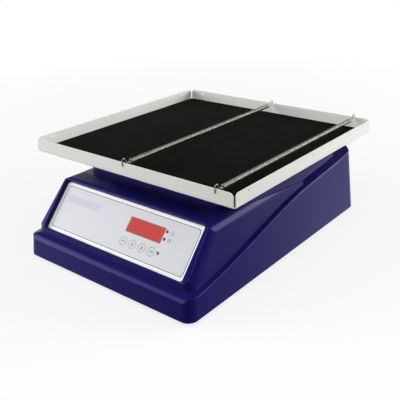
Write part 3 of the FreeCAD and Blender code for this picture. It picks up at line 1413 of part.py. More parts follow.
def pieces():
    """Every node of the machine with its solid or its group of solids."""
    nodes = {
        "upper_housing": housing(),
        "base_plate": base_plate(),
        "rubber_feet": rubber_feet(),
        "housing_screws": housing_screws(),
        "control_overlay": control_overlay(),
        "display_window": display_window(),
        "display_module": display_module(),
        "display_board": display_board(),
        "display_board_screws": display_board_screws(),
        "key_switches": key_switches(),
        "indicator_lamps": indicator_lamps(),
        "drive_plate": drive_plate(),
        "drive_plate_screws": drive_plate_screws(),
        "bearing_housing": bearing_housing(),
        "flange_screws": flange_screws(),
        "shaft_bearings": shaft_bearings(),
        "idler_bushes": idler_bushes(),
        "crank_shaft": crank_shaft(),
        "drive_pulley": pulley(PULLEY_PITCH_RADIUS, MAIN_SHAFT, 0, 0),
        "drive_belt": drive_belt(),
        "drive_motor": drive_motor(),
        "motor_shaft": motor_shaft(),
        "motor_pulley": pulley(MOTOR_PITCH_RADIUS, MOTOR_SHAFT, MOTOR_X, MOTOR_Y),
        "motor_bracket": motor_bracket(),
        "motor_screws": motor_screws(),
        "chassis_screws": chassis_screws(),
        "transformer_core": transformer_core(),
        "transformer_winding": transformer_winding(),
        "transformer_strap": transformer_strap(),
        "control_board": control_board(),
        "board_standoffs": board_standoffs(),
        "mains_inlet": mains_inlet(),
        "fuse_holder": fuse_holder(),
        "switch_frame": switch_frame(),
        "power_rocker": power_rocker(),
        "tray": tray(),
        "tray_mat": tray_mat(),
        "tray_carrier": tray_carrier(),
        "carrier_bearings": carrier_bearings(),
        "tray_screws": tray_screws(),
    }
    nodes.update({name: key(x, y) for name, (x, y) in key_places().items()})
    nodes.update({name: idler_crank(x, y) for name, (x, y) in IDLER_AXES.items()})
    nodes.update({name: retaining_spring(x) for name, x in SPRING_PLACES.items()})
    return nodes


def main():
    os.makedirs("parts", exist_ok=True)
    for name, shape in pieces().items():
        solid = Part.makeCompound(shape) if isinstance(shape, list) else shape
        solid.exportStep(f"parts/{name}.step")
        print(name, len(solid.Solids), "solid(s)", "valid" if solid.isValid() else "NOT VALID")


if __name__ == "__main__":
    main()
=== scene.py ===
import json
import logging
import math
from dataclasses import dataclass, replace
from enum import Enum
from typing import Iterable, Sequence, Union

import bmesh
import bpy
from mathutils import Matrix, Vector
from mathutils.bvhtree import BVHTree


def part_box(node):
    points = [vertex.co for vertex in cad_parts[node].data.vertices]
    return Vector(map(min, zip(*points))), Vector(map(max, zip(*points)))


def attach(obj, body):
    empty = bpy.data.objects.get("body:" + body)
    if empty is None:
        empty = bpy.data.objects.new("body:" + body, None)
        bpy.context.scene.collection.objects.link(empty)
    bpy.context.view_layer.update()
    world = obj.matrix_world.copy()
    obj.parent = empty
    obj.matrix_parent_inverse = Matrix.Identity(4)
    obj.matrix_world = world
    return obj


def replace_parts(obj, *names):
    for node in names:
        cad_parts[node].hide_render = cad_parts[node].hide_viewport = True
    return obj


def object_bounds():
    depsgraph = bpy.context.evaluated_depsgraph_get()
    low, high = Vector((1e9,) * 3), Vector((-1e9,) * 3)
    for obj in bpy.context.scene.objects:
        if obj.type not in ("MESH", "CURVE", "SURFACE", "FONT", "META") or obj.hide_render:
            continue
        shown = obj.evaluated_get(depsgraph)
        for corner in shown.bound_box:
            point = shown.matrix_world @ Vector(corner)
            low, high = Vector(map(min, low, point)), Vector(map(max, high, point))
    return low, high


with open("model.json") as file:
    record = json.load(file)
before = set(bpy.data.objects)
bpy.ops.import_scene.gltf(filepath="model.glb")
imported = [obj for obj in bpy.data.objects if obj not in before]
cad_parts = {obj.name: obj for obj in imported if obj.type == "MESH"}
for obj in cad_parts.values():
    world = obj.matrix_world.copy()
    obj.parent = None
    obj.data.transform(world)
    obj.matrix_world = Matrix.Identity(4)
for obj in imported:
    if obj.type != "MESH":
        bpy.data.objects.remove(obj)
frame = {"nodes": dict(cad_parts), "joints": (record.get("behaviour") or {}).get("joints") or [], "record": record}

CAD_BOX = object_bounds()
LOG = logging.getLogger("platform_shaker")
MM = 0.001

Triple = tuple[float, float, float]
Colour = Triple
Flat = tuple[float, float]
Outline = list[Flat]
Box = tuple[Vector, Vector]
Socket = bpy.types.NodeSocket
Feed = Union[float, Sequence[float], Socket]

WHITE: Colour = (1.0, 1.0, 1.0)
CENTRE: Flat = (0.0, 0.0)
ACROSS = Vector((1.0, 0.0, 0.0))
REARWARD = Vector((0.0, 1.0, 0.0))
UPRIGHT = Vector((0.0, 0.0, 1.0))


class Slot(Enum):
    """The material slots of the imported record."""

    HOUSING = "housing_blue"
    TRAY = "tray_white"
    MAT = "mat_black"
    SPRING = "spring_steel"
    OVERLAY = "overlay_grey"
    DISPLAY = "display_red"
    LAMP = "lamp_red"
    KEY = "key_grey"
    FOOT = "foot_rubber"
    PLATE = "plate_zinc"
    SCREW = "screw_steel"
    BEARING = "bearing_steel"
    SHAFT = "shaft_steel"
    CASTING = "cast_alloy"
    BUSH = "bush_bronze"
    PULLEY = "pulley_alloy"
    BELT = "belt_black"
    MOTOR = "motor_can"
    BOARD = "board_green"
    MODULE = "module_black"
    NYLON = "nylon_white"
    CORE = "core_steel"
    WINDING = "winding_tape"
    FITTING = "fitting_black"


class Wiring:
    """The shader nodes of a material or of the world."""

    def __init__(self, tree: bpy.types.NodeTree) -> None:
        """Takes the tree that the nodes go into."""
        self.tree = tree

    def join(self, socket: Socket, value: Feed) -> None:
        """Feeds a socket from another socket or with a constant.

        Args:
            socket: The input to feed.
            value: A socket to link, or a number, colour or vector.
        """
        if isinstance(value, Socket):
            self.tree.links.new(value, socket)
        elif socket.type == "RGBA":
            socket.default_value = (*value, 1.0)
        else:
            socket.default_value = value

    def feed(self, node: bpy.types.Node, **inputs: Feed) -> bpy.types.Node:
        """Feeds a node's inputs.

        Args:
            node: The node to feed.
            inputs: What goes in, by the sockets' names with underscores for spaces.

        Returns:
            The same node.
        """
        for name, value in inputs.items():
            self.join(node.inputs[name.replace("_", " ")], value)
        return node

    def node(self, kind: str, **inputs: Feed) -> bpy.types.Node:
        """Adds a node of a kind, such as TexNoise, and feeds its inputs."""
        return self.feed(self.tree.nodes.new(f"ShaderNode{kind}"), **inputs)

    def math(self, operation: str, *values: Feed, kind: str = "Math") -> Socket:
        """Works out a sum.

        Args:
            operation: The name of the sum.
            values: What goes into it, in order.
            kind: The kind of node, for numbers or for vectors.

        Returns:
            The socket of the resulting number.
        """
        node = self.node(kind)
        node.operation = operation
        for socket, value in zip(node.inputs, values):
            self.join(socket, value)
        return node.outputs["Value"]

    def dot(self, point: Socket, axis: Feed) -> Socket:
        """Measures a place or a direction along an axis."""
        return self.math("DOT_PRODUCT", point, axis, kind="VectorMath")

    def span(self, value: Socket, low: Feed, high: Feed, start: float = 0.3, stop: float = 0.7) -> Socket:
        """Stretches a number from one span to another.

        Args:
            value: The number to stretch.
            low: What the start becomes.
            high: What the stop becomes.
            start: The lower end of the number's own span.
            stop: The upper end of the number's own span.

        Returns:
            The socket of the stretched number.
        """
        node = self.node("MapRange", Value=value, From_Min=start, From_Max=stop, To_Min=low, To_Max=high)
        return node.outputs["Result"]

    def rays(self) -> tuple[Socket, Socket]:
        """Tells the rays that see the room from those that light it.

        Returns:
            The socket of 1 for a ray from the eye, and of 1 for one from a reflection or through glass.
        """
        path = self.node("LightPath").outputs
        mirror = self.math("MAXIMUM", path["Is Glossy Ray"], path["Is Transmission Ray"])
        return path["Is Camera Ray"], mirror


class Sketch(Wiring):
    """The shader nodes of one finish."""

    edge_samples: int = 4
    edge_turn: Flat = (0.75, 0.98)
    mix_inputs: tuple[int, int, int] = (0, 6, 7)
    mix_output: int = 2

    def __init__(self, name: str) -> None:
        """Starts a material with its main shader.

        Args:
            name: The material's name.
        """
        self.material = bpy.data.materials.new(name)
        self.material.use_nodes = True
        super().__init__(self.material.node_tree)
        self.shader = self.tree.nodes["Principled BSDF"]
        self.place = self.node("TexCoord").outputs["Object"]

    def noise(self, size: float, detail: float = 2.0, stretch: Triple = (1.0, 1.0, 1.0)) -> Socket:
        """Makes a cloudy pattern.

        Args:
            size: The width of a cloud in millimetres.
            detail: How many finer layers it has.
            stretch: How much the pattern is squeezed along each axis.

        Returns:
            The socket of a number round one half.
        """
        scaled = self.node("Mapping", Vector=self.place, Scale=stretch).outputs["Vector"]
        return self.node("TexNoise", Vector=scaled, Scale=1.0 / (size * MM), Detail=detail).outputs["Fac"]

    def blend(self, share: Feed, first: Feed, second: Feed) -> Socket:
        """Mixes two colours.

        Args:
            share: How much of the second there is.
            first: The first colour.
            second: The second colour.

        Returns:
            The socket of the mixed colour.
        """
        node = self.node("Mix")
        node.data_type = "RGBA"
        for number, value in zip(self.mix_inputs, (share, first, second)):
            self.join(node.inputs[number], value)
        return node.outputs[self.mix_output]

    def edges(self, width: float) -> Socket:
        """Finds the outer edges of a piece.

        Args:
            width: How far an edge reaches, in millimetres.

        Returns:
            The socket of a mask, 1 on sharp edges and 0 on flats.
        """
        bevel = self.node("Bevel", Radius=width * MM)
        bevel.samples = self.edge_samples
        turn = self.dot(bevel.outputs["Normal"], self.node("NewGeometry").outputs["Normal"])
        return self.span(turn, 1.0, 0.0, *self.edge_turn)

    def relief(self, height: Socket, depth: float) -> None:
        """Raises the surface by a pattern, to a depth in millimetres."""
        bump = self.node("Bump", Strength=1.0, Distance=depth * MM, Height=height)
        self.feed(self.shader, Normal=bump.outputs["Normal"])


@dataclass(frozen=True)
class Finish:
    """A finish: two close colours in patches, a span of roughness, a fine grain and worn edges.

    Lengths are in millimetres.
    """

    name: str
    slot: Slot
    colour: Colour
    shade: Colour
    patch: float = 25.0
    roughness: Flat = (0.4, 0.5)
    grain: float = 0.5
    depth: float = 0.02
    stretch: Triple = (1.0, 1.0, 1.0)
    metal: float = 0.0
    coat: float = 0.0
    shine: float = 0.5
    tint: Colour = WHITE
    worn: Colour = (0.5, 0.5, 0.5)
    wear: float = 0.0
    edge: float = 0.4
    coat_roughness: float = 0.12
    patch_detail: float = 3.0
    fine_detail: float = 4.0
    rub_share: float = 0.2
    gloss_share: float = 0.4

    def material(self) -> bpy.types.Material:
        """Makes the finish's material, once.

        Returns:
            The material.
        """
        made = bpy.data.materials.get(self.name)
        if made is not None:
            return made
        sketch = Sketch(self.name)
        patches = sketch.span(sketch.noise(self.patch, self.patch_detail), 0.0, 1.0)
        tone = self.mark(sketch, sketch.blend(patches, self.colour, self.shade))
        if self.wear:
            spots = sketch.noise(self.patch * self.rub_share, self.fine_detail)
            rubbed = sketch.math("MULTIPLY", sketch.edges(self.edge), spots)
            tone = sketch.blend(sketch.math("MULTIPLY", rubbed, self.wear), tone, self.worn)
        gloss = sketch.span(sketch.noise(self.patch * self.gloss_share, self.fine_detail), *self.roughness)
        sketch.feed(sketch.shader, Base_Color=tone, Roughness=gloss, Metallic=self.metal,
                    Coat_Weight=self.coat, Coat_Roughness=self.coat_roughness,
                    Specular_IOR_Level=self.shine, Specular_Tint=self.tint)
        sketch.relief(self.texture(sketch), self.depth)
        return sketch.material

    def mark(self, sketch: Sketch, tone: Socket) -> Socket:
        """Adds the finish's own colouring; a plain finish has none."""
        return tone

    def texture(self, sketch: Sketch) -> Socket:
        """Gives the fine grain of the surface."""
        return sketch.noise(self.grain, stretch=self.stretch)


@dataclass(frozen=True)
class Banded(Finish):
    """A finish with even layers, such as stacked sheets or wound tape."""

    pitch: float = 0.5
    axis: Triple = (0.0, 0.0, 1.0)
    line: Colour = (0.05, 0.05, 0.05)
    seam: Flat = (0.75, 0.95)
    groove: Flat = (0.7, 1.0)

    def layers(self, sketch: Sketch) -> Socket:
        """Gives a saw-tooth across the layers."""
        along = sketch.dot(sketch.place, self.axis)
        return sketch.math("FRACT", sketch.math("DIVIDE", along, self.pitch * MM))

    def mark(self, sketch: Sketch, tone: Socket) -> Socket:
        """Darkens the seams between the layers."""
        return sketch.blend(sketch.span(self.layers(sketch), 0.0, 1.0, *self.seam), tone, self.line)

    def texture(self, sketch: Sketch) -> Socket:
        """Raises each layer over its seam."""
        return sketch.span(self.layers(sketch), 1.0, 0.0, *self.groove)


@dataclass(frozen=True)
class Tracked(Finish):
    """A printed circuit board: solder mask over copper tracks."""

    pitch: float = 2.54
    copper: Colour = (0.07, 0.30, 0.13)
    spread: int = 4
    track: float = 0.03

    def texture(self, sketch: Sketch) -> Socket:
        """Gives the mask of the tracks, which stand a little proud."""
        bricks = sketch.node("TexBrick", Vector=sketch.place, Scale=1.0 / (self.spread * self.pitch * MM),
                             Mortar_Size=self.track)
        return bricks.outputs["Fac"]

    def mark(self, sketch: Sketch, tone: Socket) -> Socket:
        """Shows the tracks through the solder mask."""
        return sketch.blend(self.texture(sketch), tone, self.copper)


@dataclass(frozen=True)
class PrintedFilm(Finish):
    """The overlay's film: a grey printed field inside a white margin."""

    margin: Colour = (0.93, 0.93, 0.95)
    centre: Vector = Vector()
    up: Vector = Vector(UPRIGHT)
    half: Flat = (80.0, 20.0)

    def mark(self, sketch: Sketch, tone: Socket) -> Socket:
        """Prints the white margin outside the field.

        Args:
            sketch: The nodes of the finish.
            tone: The field's colour.

        Returns:
            The socket of the printed colour.
        """
        beyond = []
        for axis, half in zip((ACROSS, self.up), self.half):
            off = sketch.math("SUBTRACT", sketch.dot(sketch.place, axis), self.centre.dot(axis))
            beyond.append(sketch.math("SUBTRACT", sketch.math("ABSOLUTE", off), half * MM))
        outside = sketch.math("GREATER_THAN", sketch.math("MAXIMUM", *beyond), 0.0)
        return sketch.blend(outside, tone, self.margin)


MAT_BLACK = Finish("mat_black_rubber", Slot.MAT, (0.0058, 0.0058, 0.0048), (0.0078, 0.0077, 0.0066), 40.0,
                   (0.8, 0.92), 0.35, 0.02, shine=0.03)
SPRING_WIRE = Finish("drawn_spring_wire", Slot.SPRING, (0.34, 0.325, 0.285), (0.27, 0.255, 0.22), 6.0,
                     (0.28, 0.4), 0.08, 0.003, metal=1.0)
SEGMENT_RED = Finish("dead_segments", Slot.DISPLAY, (0.575, 0.068, 0.065), (0.545, 0.064, 0.061), 9.0,
                     (0.1, 0.14), 0.4, 0.001, shine=0.2)
LAMP_RED = Finish("lamp_lens_red", Slot.LAMP, (0.25, 0.028, 0.025), (0.19, 0.02, 0.018), 1.5, (0.12, 0.2),
                  0.3, 0.002, coat=0.5)
INK_GREY = Finish("ink_grey", Slot.OVERLAY, (0.16, 0.17, 0.16), (0.12, 0.13, 0.12), 3.0, (0.5, 0.6),
                  0.1, 0.002)
INK_PALE = Finish("ink_pale_band", Slot.OVERLAY, (0.58, 0.565, 0.67), (0.55, 0.54, 0.645), 9.0, (0.4, 0.5),
                  0.1, 0.002)
INK_WHITE = Finish("ink_white", Slot.FITTING, (0.75, 0.75, 0.73), (0.68, 0.68, 0.66), 2.0, (0.5, 0.6),
                   0.1, 0.002)
SCREW_ZINC = Finish("screw_zinc", Slot.SCREW, (0.56, 0.55, 0.51), (0.46, 0.45, 0.42), 3.0, (0.26, 0.4), 0.12,
                    0.003, metal=1.0, worn=(0.75, 0.74, 0.7), wear=0.7, edge=0.15)
PIN_NICKEL = Finish("pin_nickel", Slot.SCREW, (0.62, 0.60, 0.55), (0.52, 0.50, 0.46), 3.0, (0.2, 0.3),
                    0.1, 0.002, metal=1.0)
PRINTED_FILM = PrintedFilm("printed_film", Slot.OVERLAY, (0.625, 0.635, 0.675), (0.645, 0.655, 0.69), 50.0,
                           (0.36, 0.46), 0.18, 0.004)
NODE_FINISHES = (
    MAT_BLACK,
    SPRING_WIRE,
    LAMP_RED,
    SCREW_ZINC,
    Finish("moulded_blue", Slot.HOUSING, (0.0115, 0.0078, 0.104), (0.0098, 0.0068, 0.094), 60.0, (0.2, 0.26),
           1.2, 0.0012, shine=0.14, tint=(0.44, 0.44, 1.0), worn=(0.03, 0.025, 0.17), wear=0.5, edge=0.6),
    Finish("powder_white", Slot.TRAY, (0.80, 0.80, 0.76), (0.77, 0.77, 0.73), 60.0, (0.42, 0.52), 0.7, 0.012,
           worn=(0.62, 0.61, 0.58), wear=0.5, edge=0.4),
    Finish("tinted_red_window", Slot.DISPLAY, (0.62, 0.078, 0.075), (0.585, 0.073, 0.07), 9.0, (0.1, 0.14),
           0.4, 0.001, shine=0.2),
    Finish("key_film", Slot.KEY, (0.64, 0.65, 0.685), (0.62, 0.63, 0.665), 4.0, (0.36, 0.46), 0.14, 0.003),
    Finish("foot_rubber_black", Slot.FOOT, (0.014, 0.014, 0.014), (0.022, 0.021, 0.02), 5.0, (0.7, 0.85),
           0.3, 0.02, shine=0.25, worn=(0.06, 0.06, 0.06), wear=0.6),
    Finish("zinc_sheet", Slot.PLATE, (0.52, 0.53, 0.53), (0.44, 0.45, 0.46), 14.0, (0.34, 0.5), 0.6, 0.006,
           metal=1.0, stretch=(1.0, 0.05, 1.0), worn=(0.68, 0.68, 0.67), wear=0.6),
    Finish("ground_steel", Slot.BEARING, (0.60, 0.60, 0.60), (0.53, 0.53, 0.54), 5.0, (0.16, 0.26),
           0.1, 0.002, metal=1.0, stretch=(0.1, 0.1, 4.0)),
    Finish("turned_steel", Slot.SHAFT, (0.50, 0.50, 0.51), (0.42, 0.42, 0.43), 8.0, (0.24, 0.36), 0.15, 0.004,
           metal=1.0, stretch=(0.1, 0.1, 3.0), worn=(0.7, 0.7, 0.7), wear=0.6, edge=0.3),
    Finish("cast_alloy_grey", Slot.CASTING, (0.50, 0.50, 0.51), (0.42, 0.42, 0.43), 9.0, (0.42, 0.58),
           0.5, 0.03, metal=1.0, worn=(0.66, 0.66, 0.66), wear=0.7),
    Finish("sintered_bronze", Slot.BUSH, (0.55, 0.36, 0.15), (0.44, 0.28, 0.11), 4.0, (0.4, 0.55),
           0.12, 0.006, metal=1.0),
    Finish("turned_alloy", Slot.PULLEY, (0.64, 0.64, 0.65), (0.56, 0.56, 0.57), 8.0, (0.22, 0.34),
           0.12, 0.004, metal=1.0, stretch=(0.1, 0.1, 3.0)),
    Finish("belt_rubber", Slot.BELT, (0.012, 0.012, 0.012), (0.02, 0.02, 0.02), 6.0, (0.6, 0.75), 0.3, 0.02,
           shine=0.3),
    Finish("motor_can_black", Slot.MOTOR, (0.03, 0.03, 0.032), (0.045, 0.045, 0.047), 12.0, (0.35, 0.5),
           0.5, 0.01, worn=(0.3, 0.3, 0.3), wear=0.6),
    Tracked("solder_mask_green", Slot.BOARD, (0.018, 0.11, 0.04), (0.014, 0.09, 0.035), 12.0, (0.25, 0.35),
            0.3, 0.02),
    Finish("module_black_moulding", Slot.MODULE, (0.02, 0.02, 0.02), (0.03, 0.03, 0.03), 5.0, (0.45, 0.6),
           0.2, 0.006),
    Finish("nylon_natural", Slot.NYLON, (0.72, 0.70, 0.62), (0.66, 0.64, 0.56), 4.0, (0.4, 0.5), 0.3, 0.01),
    Banded("varnished_core_sheets", Slot.CORE, (0.05, 0.045, 0.04), (0.075, 0.065, 0.055), 9.0, (0.3, 0.45),
           pitch=0.5, axis=(0.0, 1.0, 0.0), line=(0.015, 0.014, 0.012)),
    Banded("winding_tape_yellow", Slot.WINDING, (0.62, 0.40, 0.06), (0.55, 0.34, 0.05), 8.0, (0.3, 0.42),
           pitch=6.0, line=(0.40, 0.24, 0.03)),
    Finish("fitting_black_moulding", Slot.FITTING, (0.012, 0.012, 0.012), (0.018, 0.018, 0.018), 8.0,
           (0.35, 0.5), 0.25, 0.008, worn=(0.06, 0.06, 0.06), wear=0.7, edge=0.25),
)


def dress(node: str, finish: Finish) -> None:
    """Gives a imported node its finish."""
    for slot in frame["nodes"][node].material_slots:
        slot.material = finish.material()


def body_of(node: str) -> str:
    """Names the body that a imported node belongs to."""
    bodies = frame["record"]["behaviour"]["bodies"]
    return next(body for body, nodes in bodies.items() if node in nodes)


def corners(node: str) -> list[Vector]:
    """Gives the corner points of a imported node, in metres."""
    return [v.co for v in frame["nodes"][node].data.vertices]


def surface(node: str) -> BVHTree:
    """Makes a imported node's surface ready for finding points on it."""
    return BVHTree.FromPolygons(corners(node), [p.vertices for p in frame["nodes"][node].data.polygons])


def points_box(points: Iterable[Vector]) -> Box:
    """Gives the lowest and the highest corner of the box round some points."""
    columns = list(zip(*points))
    return Vector([min(c) for c in columns]), Vector([max(c) for c in columns])


def extent(box: Box, unit: float = 1.0) -> Box:
    """Gives the middle and the size of a box, counted in a unit."""
    low, high = box
    return (low + high) / (2 * unit), (high - low) / unit


def plane_at(place: Vector, *axes: Vector) -> Matrix:
    """Makes the plane at a place along two axes, with a third axis out of it."""
    return Matrix.Translation(place) @ Matrix(axes).transposed().to_4x4()


def islands(node: str, weld: float = 1e-6, digits: int = 5) -> list[list[Vector]]:
    """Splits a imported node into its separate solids.

    Args:
        node: The node's name.
        weld: How near points are that count as one, in metres.
        digits: The decimal places by which the solids are put in order.

    Returns:
        The corner points of each solid, in metres.
    """
    mesh = bmesh.new()
    mesh.from_mesh(frame["nodes"][node].data)
    bmesh.ops.remove_doubles(mesh, verts=mesh.verts, dist=weld)
    left, found = set(mesh.verts), []
    while left:
        front = [left.pop()]
        solid = list(front)
        while front:
            near = [e.other_vert(v) for v in front for e in v.link_edges]
            front = [v for v in dict.fromkeys(near) if v in left]
            left.difference_update(front)
            solid += front
        found.append([v.co.copy() for v in solid])
    mesh.free()
    return sorted(found, key=lambda points: tuple(round(c, digits) for c in points_box(points)[0]))


class Form:
    """Points and faces of a piece while it is being made."""

    def __init__(self) -> None:
        """Starts with nothing."""
        self.points: list[Vector] = []
        self.faces: list[tuple[int, ...]] = []

    def ring(self, points: Iterable[Vector]) -> list[int]:
        """Adds a ring of points.

        Args:
            points: The ring's points, in metres.

        Returns:
            Their numbers.
        """
        start = len(self.points)
        self.points += [Vector(p) for p in points]
        return list(range(start, len(self.points)))

    def tower(self, rings: Sequence[Sequence[int]], capped: bool = True) -> None:
        """Joins rings of as many points by walls, with a lid at either end.

        Args:
            rings: The rings, from one end to the other.
            capped: Whether the ends are closed.
        """
        for first, second in zip(rings, rings[1:]):
            self.faces += [(first[i - 1], first[i], second[i], second[i - 1]) for i in range(len(first))]
        if capped:
            self.faces += [tuple(reversed(rings[0])), tuple(rings[-1])]

    def stack(self, plane: Matrix, layers: Iterable[tuple[Outline, float]]) -> None:
        """Builds a closed solid through outlines of as many points.

        Args:
            plane: The plane that the outlines are drawn on.
            layers: Each outline and its height over the plane, in millimetres.
        """
        self.tower([self.ring(plane @ (Vector((x, y, height)) * MM) for x, y in outline)
                    for outline, height in layers])

    def piece(self, name: str, finish: Finish, body: str, sharp: float = 35.0) -> bpy.types.Object:
        """Turns the form into a piece that rides on a body.

        Args:
            name: The piece's name.
            finish: Its finish.
            body: The body that carries it.
            sharp: The angle in degrees from which an edge stays sharp.

        Returns:
            The new piece.
        """
        mesh = bpy.data.meshes.new(name)
        mesh.from_pydata(self.points, [], self.faces)
        work = bmesh.new()
        work.from_mesh(mesh)
        bmesh.ops.recalc_face_normals(work, faces=work.faces)
        work.to_mesh(mesh)
        work.free()
        mesh.shade_smooth()
        mesh.set_sharp_from_angle(angle=math.radians(sharp))
        mesh.materials.append(finish.material())
        made = bpy.data.objects.new(name, mesh)
        bpy.context.scene.collection.objects.link(made)
        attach(made, body)
        LOG.info("%s: %d points on %s", name, len(self.points), body)
        return made


def arc(centre: Flat, radius: float, start: float, stop: float, steps: int) -> Outline:
    """Draws part of a circle.

    Args:
        centre: Its centre.
        radius: Its radius.
        start: The first angle in degrees.
        stop: The last angle in degrees.
        steps: How many equal parts it has.

    Returns:
        The points from start to stop.
    """
    angles = [math.radians(start + (stop - start) * i / steps) for i in range(steps + 1)]
    return [(centre[0] + radius * math.cos(a), centre[1] + radius * math.sin(a)) for a in angles]


def circle(centre: Flat, radius: float, steps: int = 40) -> Outline:
    """Draws a whole circle as a closed outline."""
    return arc(centre, radius, 0.0, 360.0, steps)[:-1]


def rounded_box(centre: Flat, width: float, length: float, corner: float, steps: int = 6) -> Outline:
    """Draws a rectangle with rounded corners.

    Args:
        centre: Its centre.
        width: Its size across.
        length: Its size along.
        corner: The radius of its corners.
        steps: The parts of each corner.

    Returns:
        The closed outline.
    """
    x, y = width / 2 - corner, length / 2 - corner
    outline: Outline = []
    for turn, (sx, sy) in enumerate(((1, 1), (-1, 1), (-1, -1), (1, -1))):
        start = 90.0 * turn
        outline += arc((centre[0] + sx * x, centre[1] + sy * y), corner, start, start + 90.0, steps)
    return outline


@dataclass
class Print(Form):
    """A printed piece, drawn on a plane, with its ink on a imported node; sizes in millimetres."""

    plane: Matrix
    node: str
    ink: float = 0.03
    root: float = 0.05
    reach: float = 20.0

    def __post_init__(self) -> None:
        """Readies the surface under the ink."""
        super().__init__()
        self.skin = surface(self.node)
        self.out = self.plane.to_3x3() @ UPRIGHT

    def spot(self, place: Flat) -> Vector:
        """Finds the point of the surface under a place on the plane.

        Args:
            place: The place on the plane.

        Returns:
            The point in metres.
        """
        start = self.plane @ (Vector((*place, self.reach)) * MM)
        hit = self.skin.ray_cast(start, -self.out)[0]
        return hit if hit is not None else self.plane @ (Vector((*place, 0.0)) * MM)

    def levels(self, outline: Outline) -> tuple[list[int], list[int]]:
        """Adds an outline at the root and at the top of the ink.

        Args:
            outline: The outline on the plane.

        Returns:
            The ring at the root and the ring at the top.
        """
        spots = [self.spot(p) for p in outline]
        low = self.ring(p - self.out * self.root * MM for p in spots)
        return low, self.ring(p + self.out * self.ink * MM for p in spots)

    def patch(self, outline: Outline) -> None:
        """Prints a filled outline."""
        self.tower(self.levels(outline))

    def band(self, outer: Outline, inner: Outline) -> None:
        """Prints the band between two outlines.

        Args:
            outer: The outer outline.
            inner: The inner outline, of as many points.
        """
        outer_low, outer_top = self.levels(outer)
        inner_low, inner_top = self.levels(inner)
        self.tower([inner_low, outer_low, outer_top, inner_top, inner_low], capped=False)

    def hoop(self, centre: Flat, radius: float, line: float) -> None:
        """Prints a ring of an outer radius and a width of line."""
        self.band(circle(centre, radius), circle(centre, radius - line))

    def stroke(self, path: Outline, width: float) -> None:
        """Prints a line of even width along a path.

        Args:
            path: Its points.
            width: Its width.
        """
        left, right = [], []
        for i, (x, y) in enumerate(path):
            x0, y0 = path[max(i - 1, 0)]
            x1, y1 = path[min(i + 1, len(path) - 1)]
            size = math.hypot(x1 - x0, y1 - y0)
            nx, ny = (y0 - y1) / size * width / 2, (x1 - x0) / size * width / 2
            left.append((x + nx, y + ny))
            right.append((x - nx, y - ny))
        for i in range(len(path) - 1):
            self.patch([left[i], right[i], right[i + 1], left[i + 1]])


@dataclass(frozen=True)
class Sign:
    """A printed sign, in millimetres about its middle.

    An arrow head has a tip, a direction and a length, a line its points and a width, and a ring a
    radius and a width of line.
    """

    arrows: tuple[tuple[Flat, Flat, float], ...] = ()
    lines: tuple[tuple[Sequence[Flat], float], ...] = ()
    rings: tuple[Flat, ...] = ()
    arrow_half: float = 0.62

    def draw(self, ink: Print, centre: Flat) -> None:
        """Adds the sign to a print.

        Args:
            ink: The print that gets it.
            centre: The place of its middle.
        """
        x, y = centre
        for (tip_x, tip_y), (way_x, way_y), size in self.arrows:
            tip = Vector((x + tip_x, y + tip_y))
            back = tip - Vector((way_x, way_y)) * size
            side = Vector((-way_y, way_x)) * size * self.arrow_half
            ink.patch([tuple(tip), tuple(back + side), tuple(back - side)])
        for path, width in self.lines:
            ink.stroke([(x + u, y + v) for u, v in path], width)
        for radius, line in self.rings:
            ink.hoop(centre, radius, line)


KEY_SIGNS = {
    "key_mode": Sign(arrows=(((-2.1, 0.0), (-1.0, 0.0), 1.3), ((2.1, 0.0), (1.0, 0.0), 1.3)),
                     lines=((((-0.9, 0.0), (0.9, 0.0)), 0.34),)),
    "key_up": Sign(arrows=(((0.0, 1.9), (0.0, 1.0), 1.7),), lines=((((0.0, -1.7), (0.0, 0.3)), 0.9),)),
    "key_down": Sign(arrows=(((0.0, -1.9), (0.0, -1.0), 1.7),), lines=((((0.0, 1.7), (0.0, -0.3)), 0.9),)),
    "key_start": Sign(arrows=(((0.4, 0.0), (1.0, 0.0), 1.8),), lines=((((1.3, -1.1), (1.3, 1.1)), 0.6),)),
}
TURN_SIGN = Sign(arrows=(((1.65, 0.6), (0.34, 0.94), 1.2),),
                 lines=((arc(CENTRE, 1.5, 60.0, 340.0, 16), 0.42),))
CLOCK_SIGN = Sign(lines=((((0.0, 1.05), (0.0, 0.0), (0.9, 0.0)), 0.42),), rings=((1.65, 0.42),))


def sweep(form: Form, path: Sequence[Vector], radius: float, sides: int, tip: float = 0.6) -> None:
    """Runs a round wire along a path, with rounded ends.

    Args:
        form: The form that gets the wire.
        path: The wire's middle line, in metres.
        radius: The wire's radius in metres.
        sides: How many sides its section has.
        tip: The radius and the length of each rounded end, as a share of the wire's radius.
    """
    last = len(path) - 1
    headings = [(path[min(i + 1, last)] - path[max(i - 1, 0)]).normalized() for i in range(len(path))]
    across = headings[0].orthogonal().normalized()
    frames = []
    for i, heading in enumerate(headings):
        if i:
            across = headings[i - 1].rotation_difference(heading) @ across
        across = (across - heading * across.dot(heading)).normalized()
        frames.append((path[i], across.copy(), heading.cross(across), 1.0))
    start = (path[0] - headings[0] * radius * tip, *frames[0][1:3], tip)
    stop = (path[-1] + headings[-1] * radius * tip, *frames[-1][1:3], tip)
    turns = [2 * math.pi * k / sides for k in range(sides)]
    form.tower([form.ring(middle + (side * math.cos(t) + rise * math.sin(t)) * radius * share for t in turns)
                for middle, side, rise, share in (start, *frames, stop)])


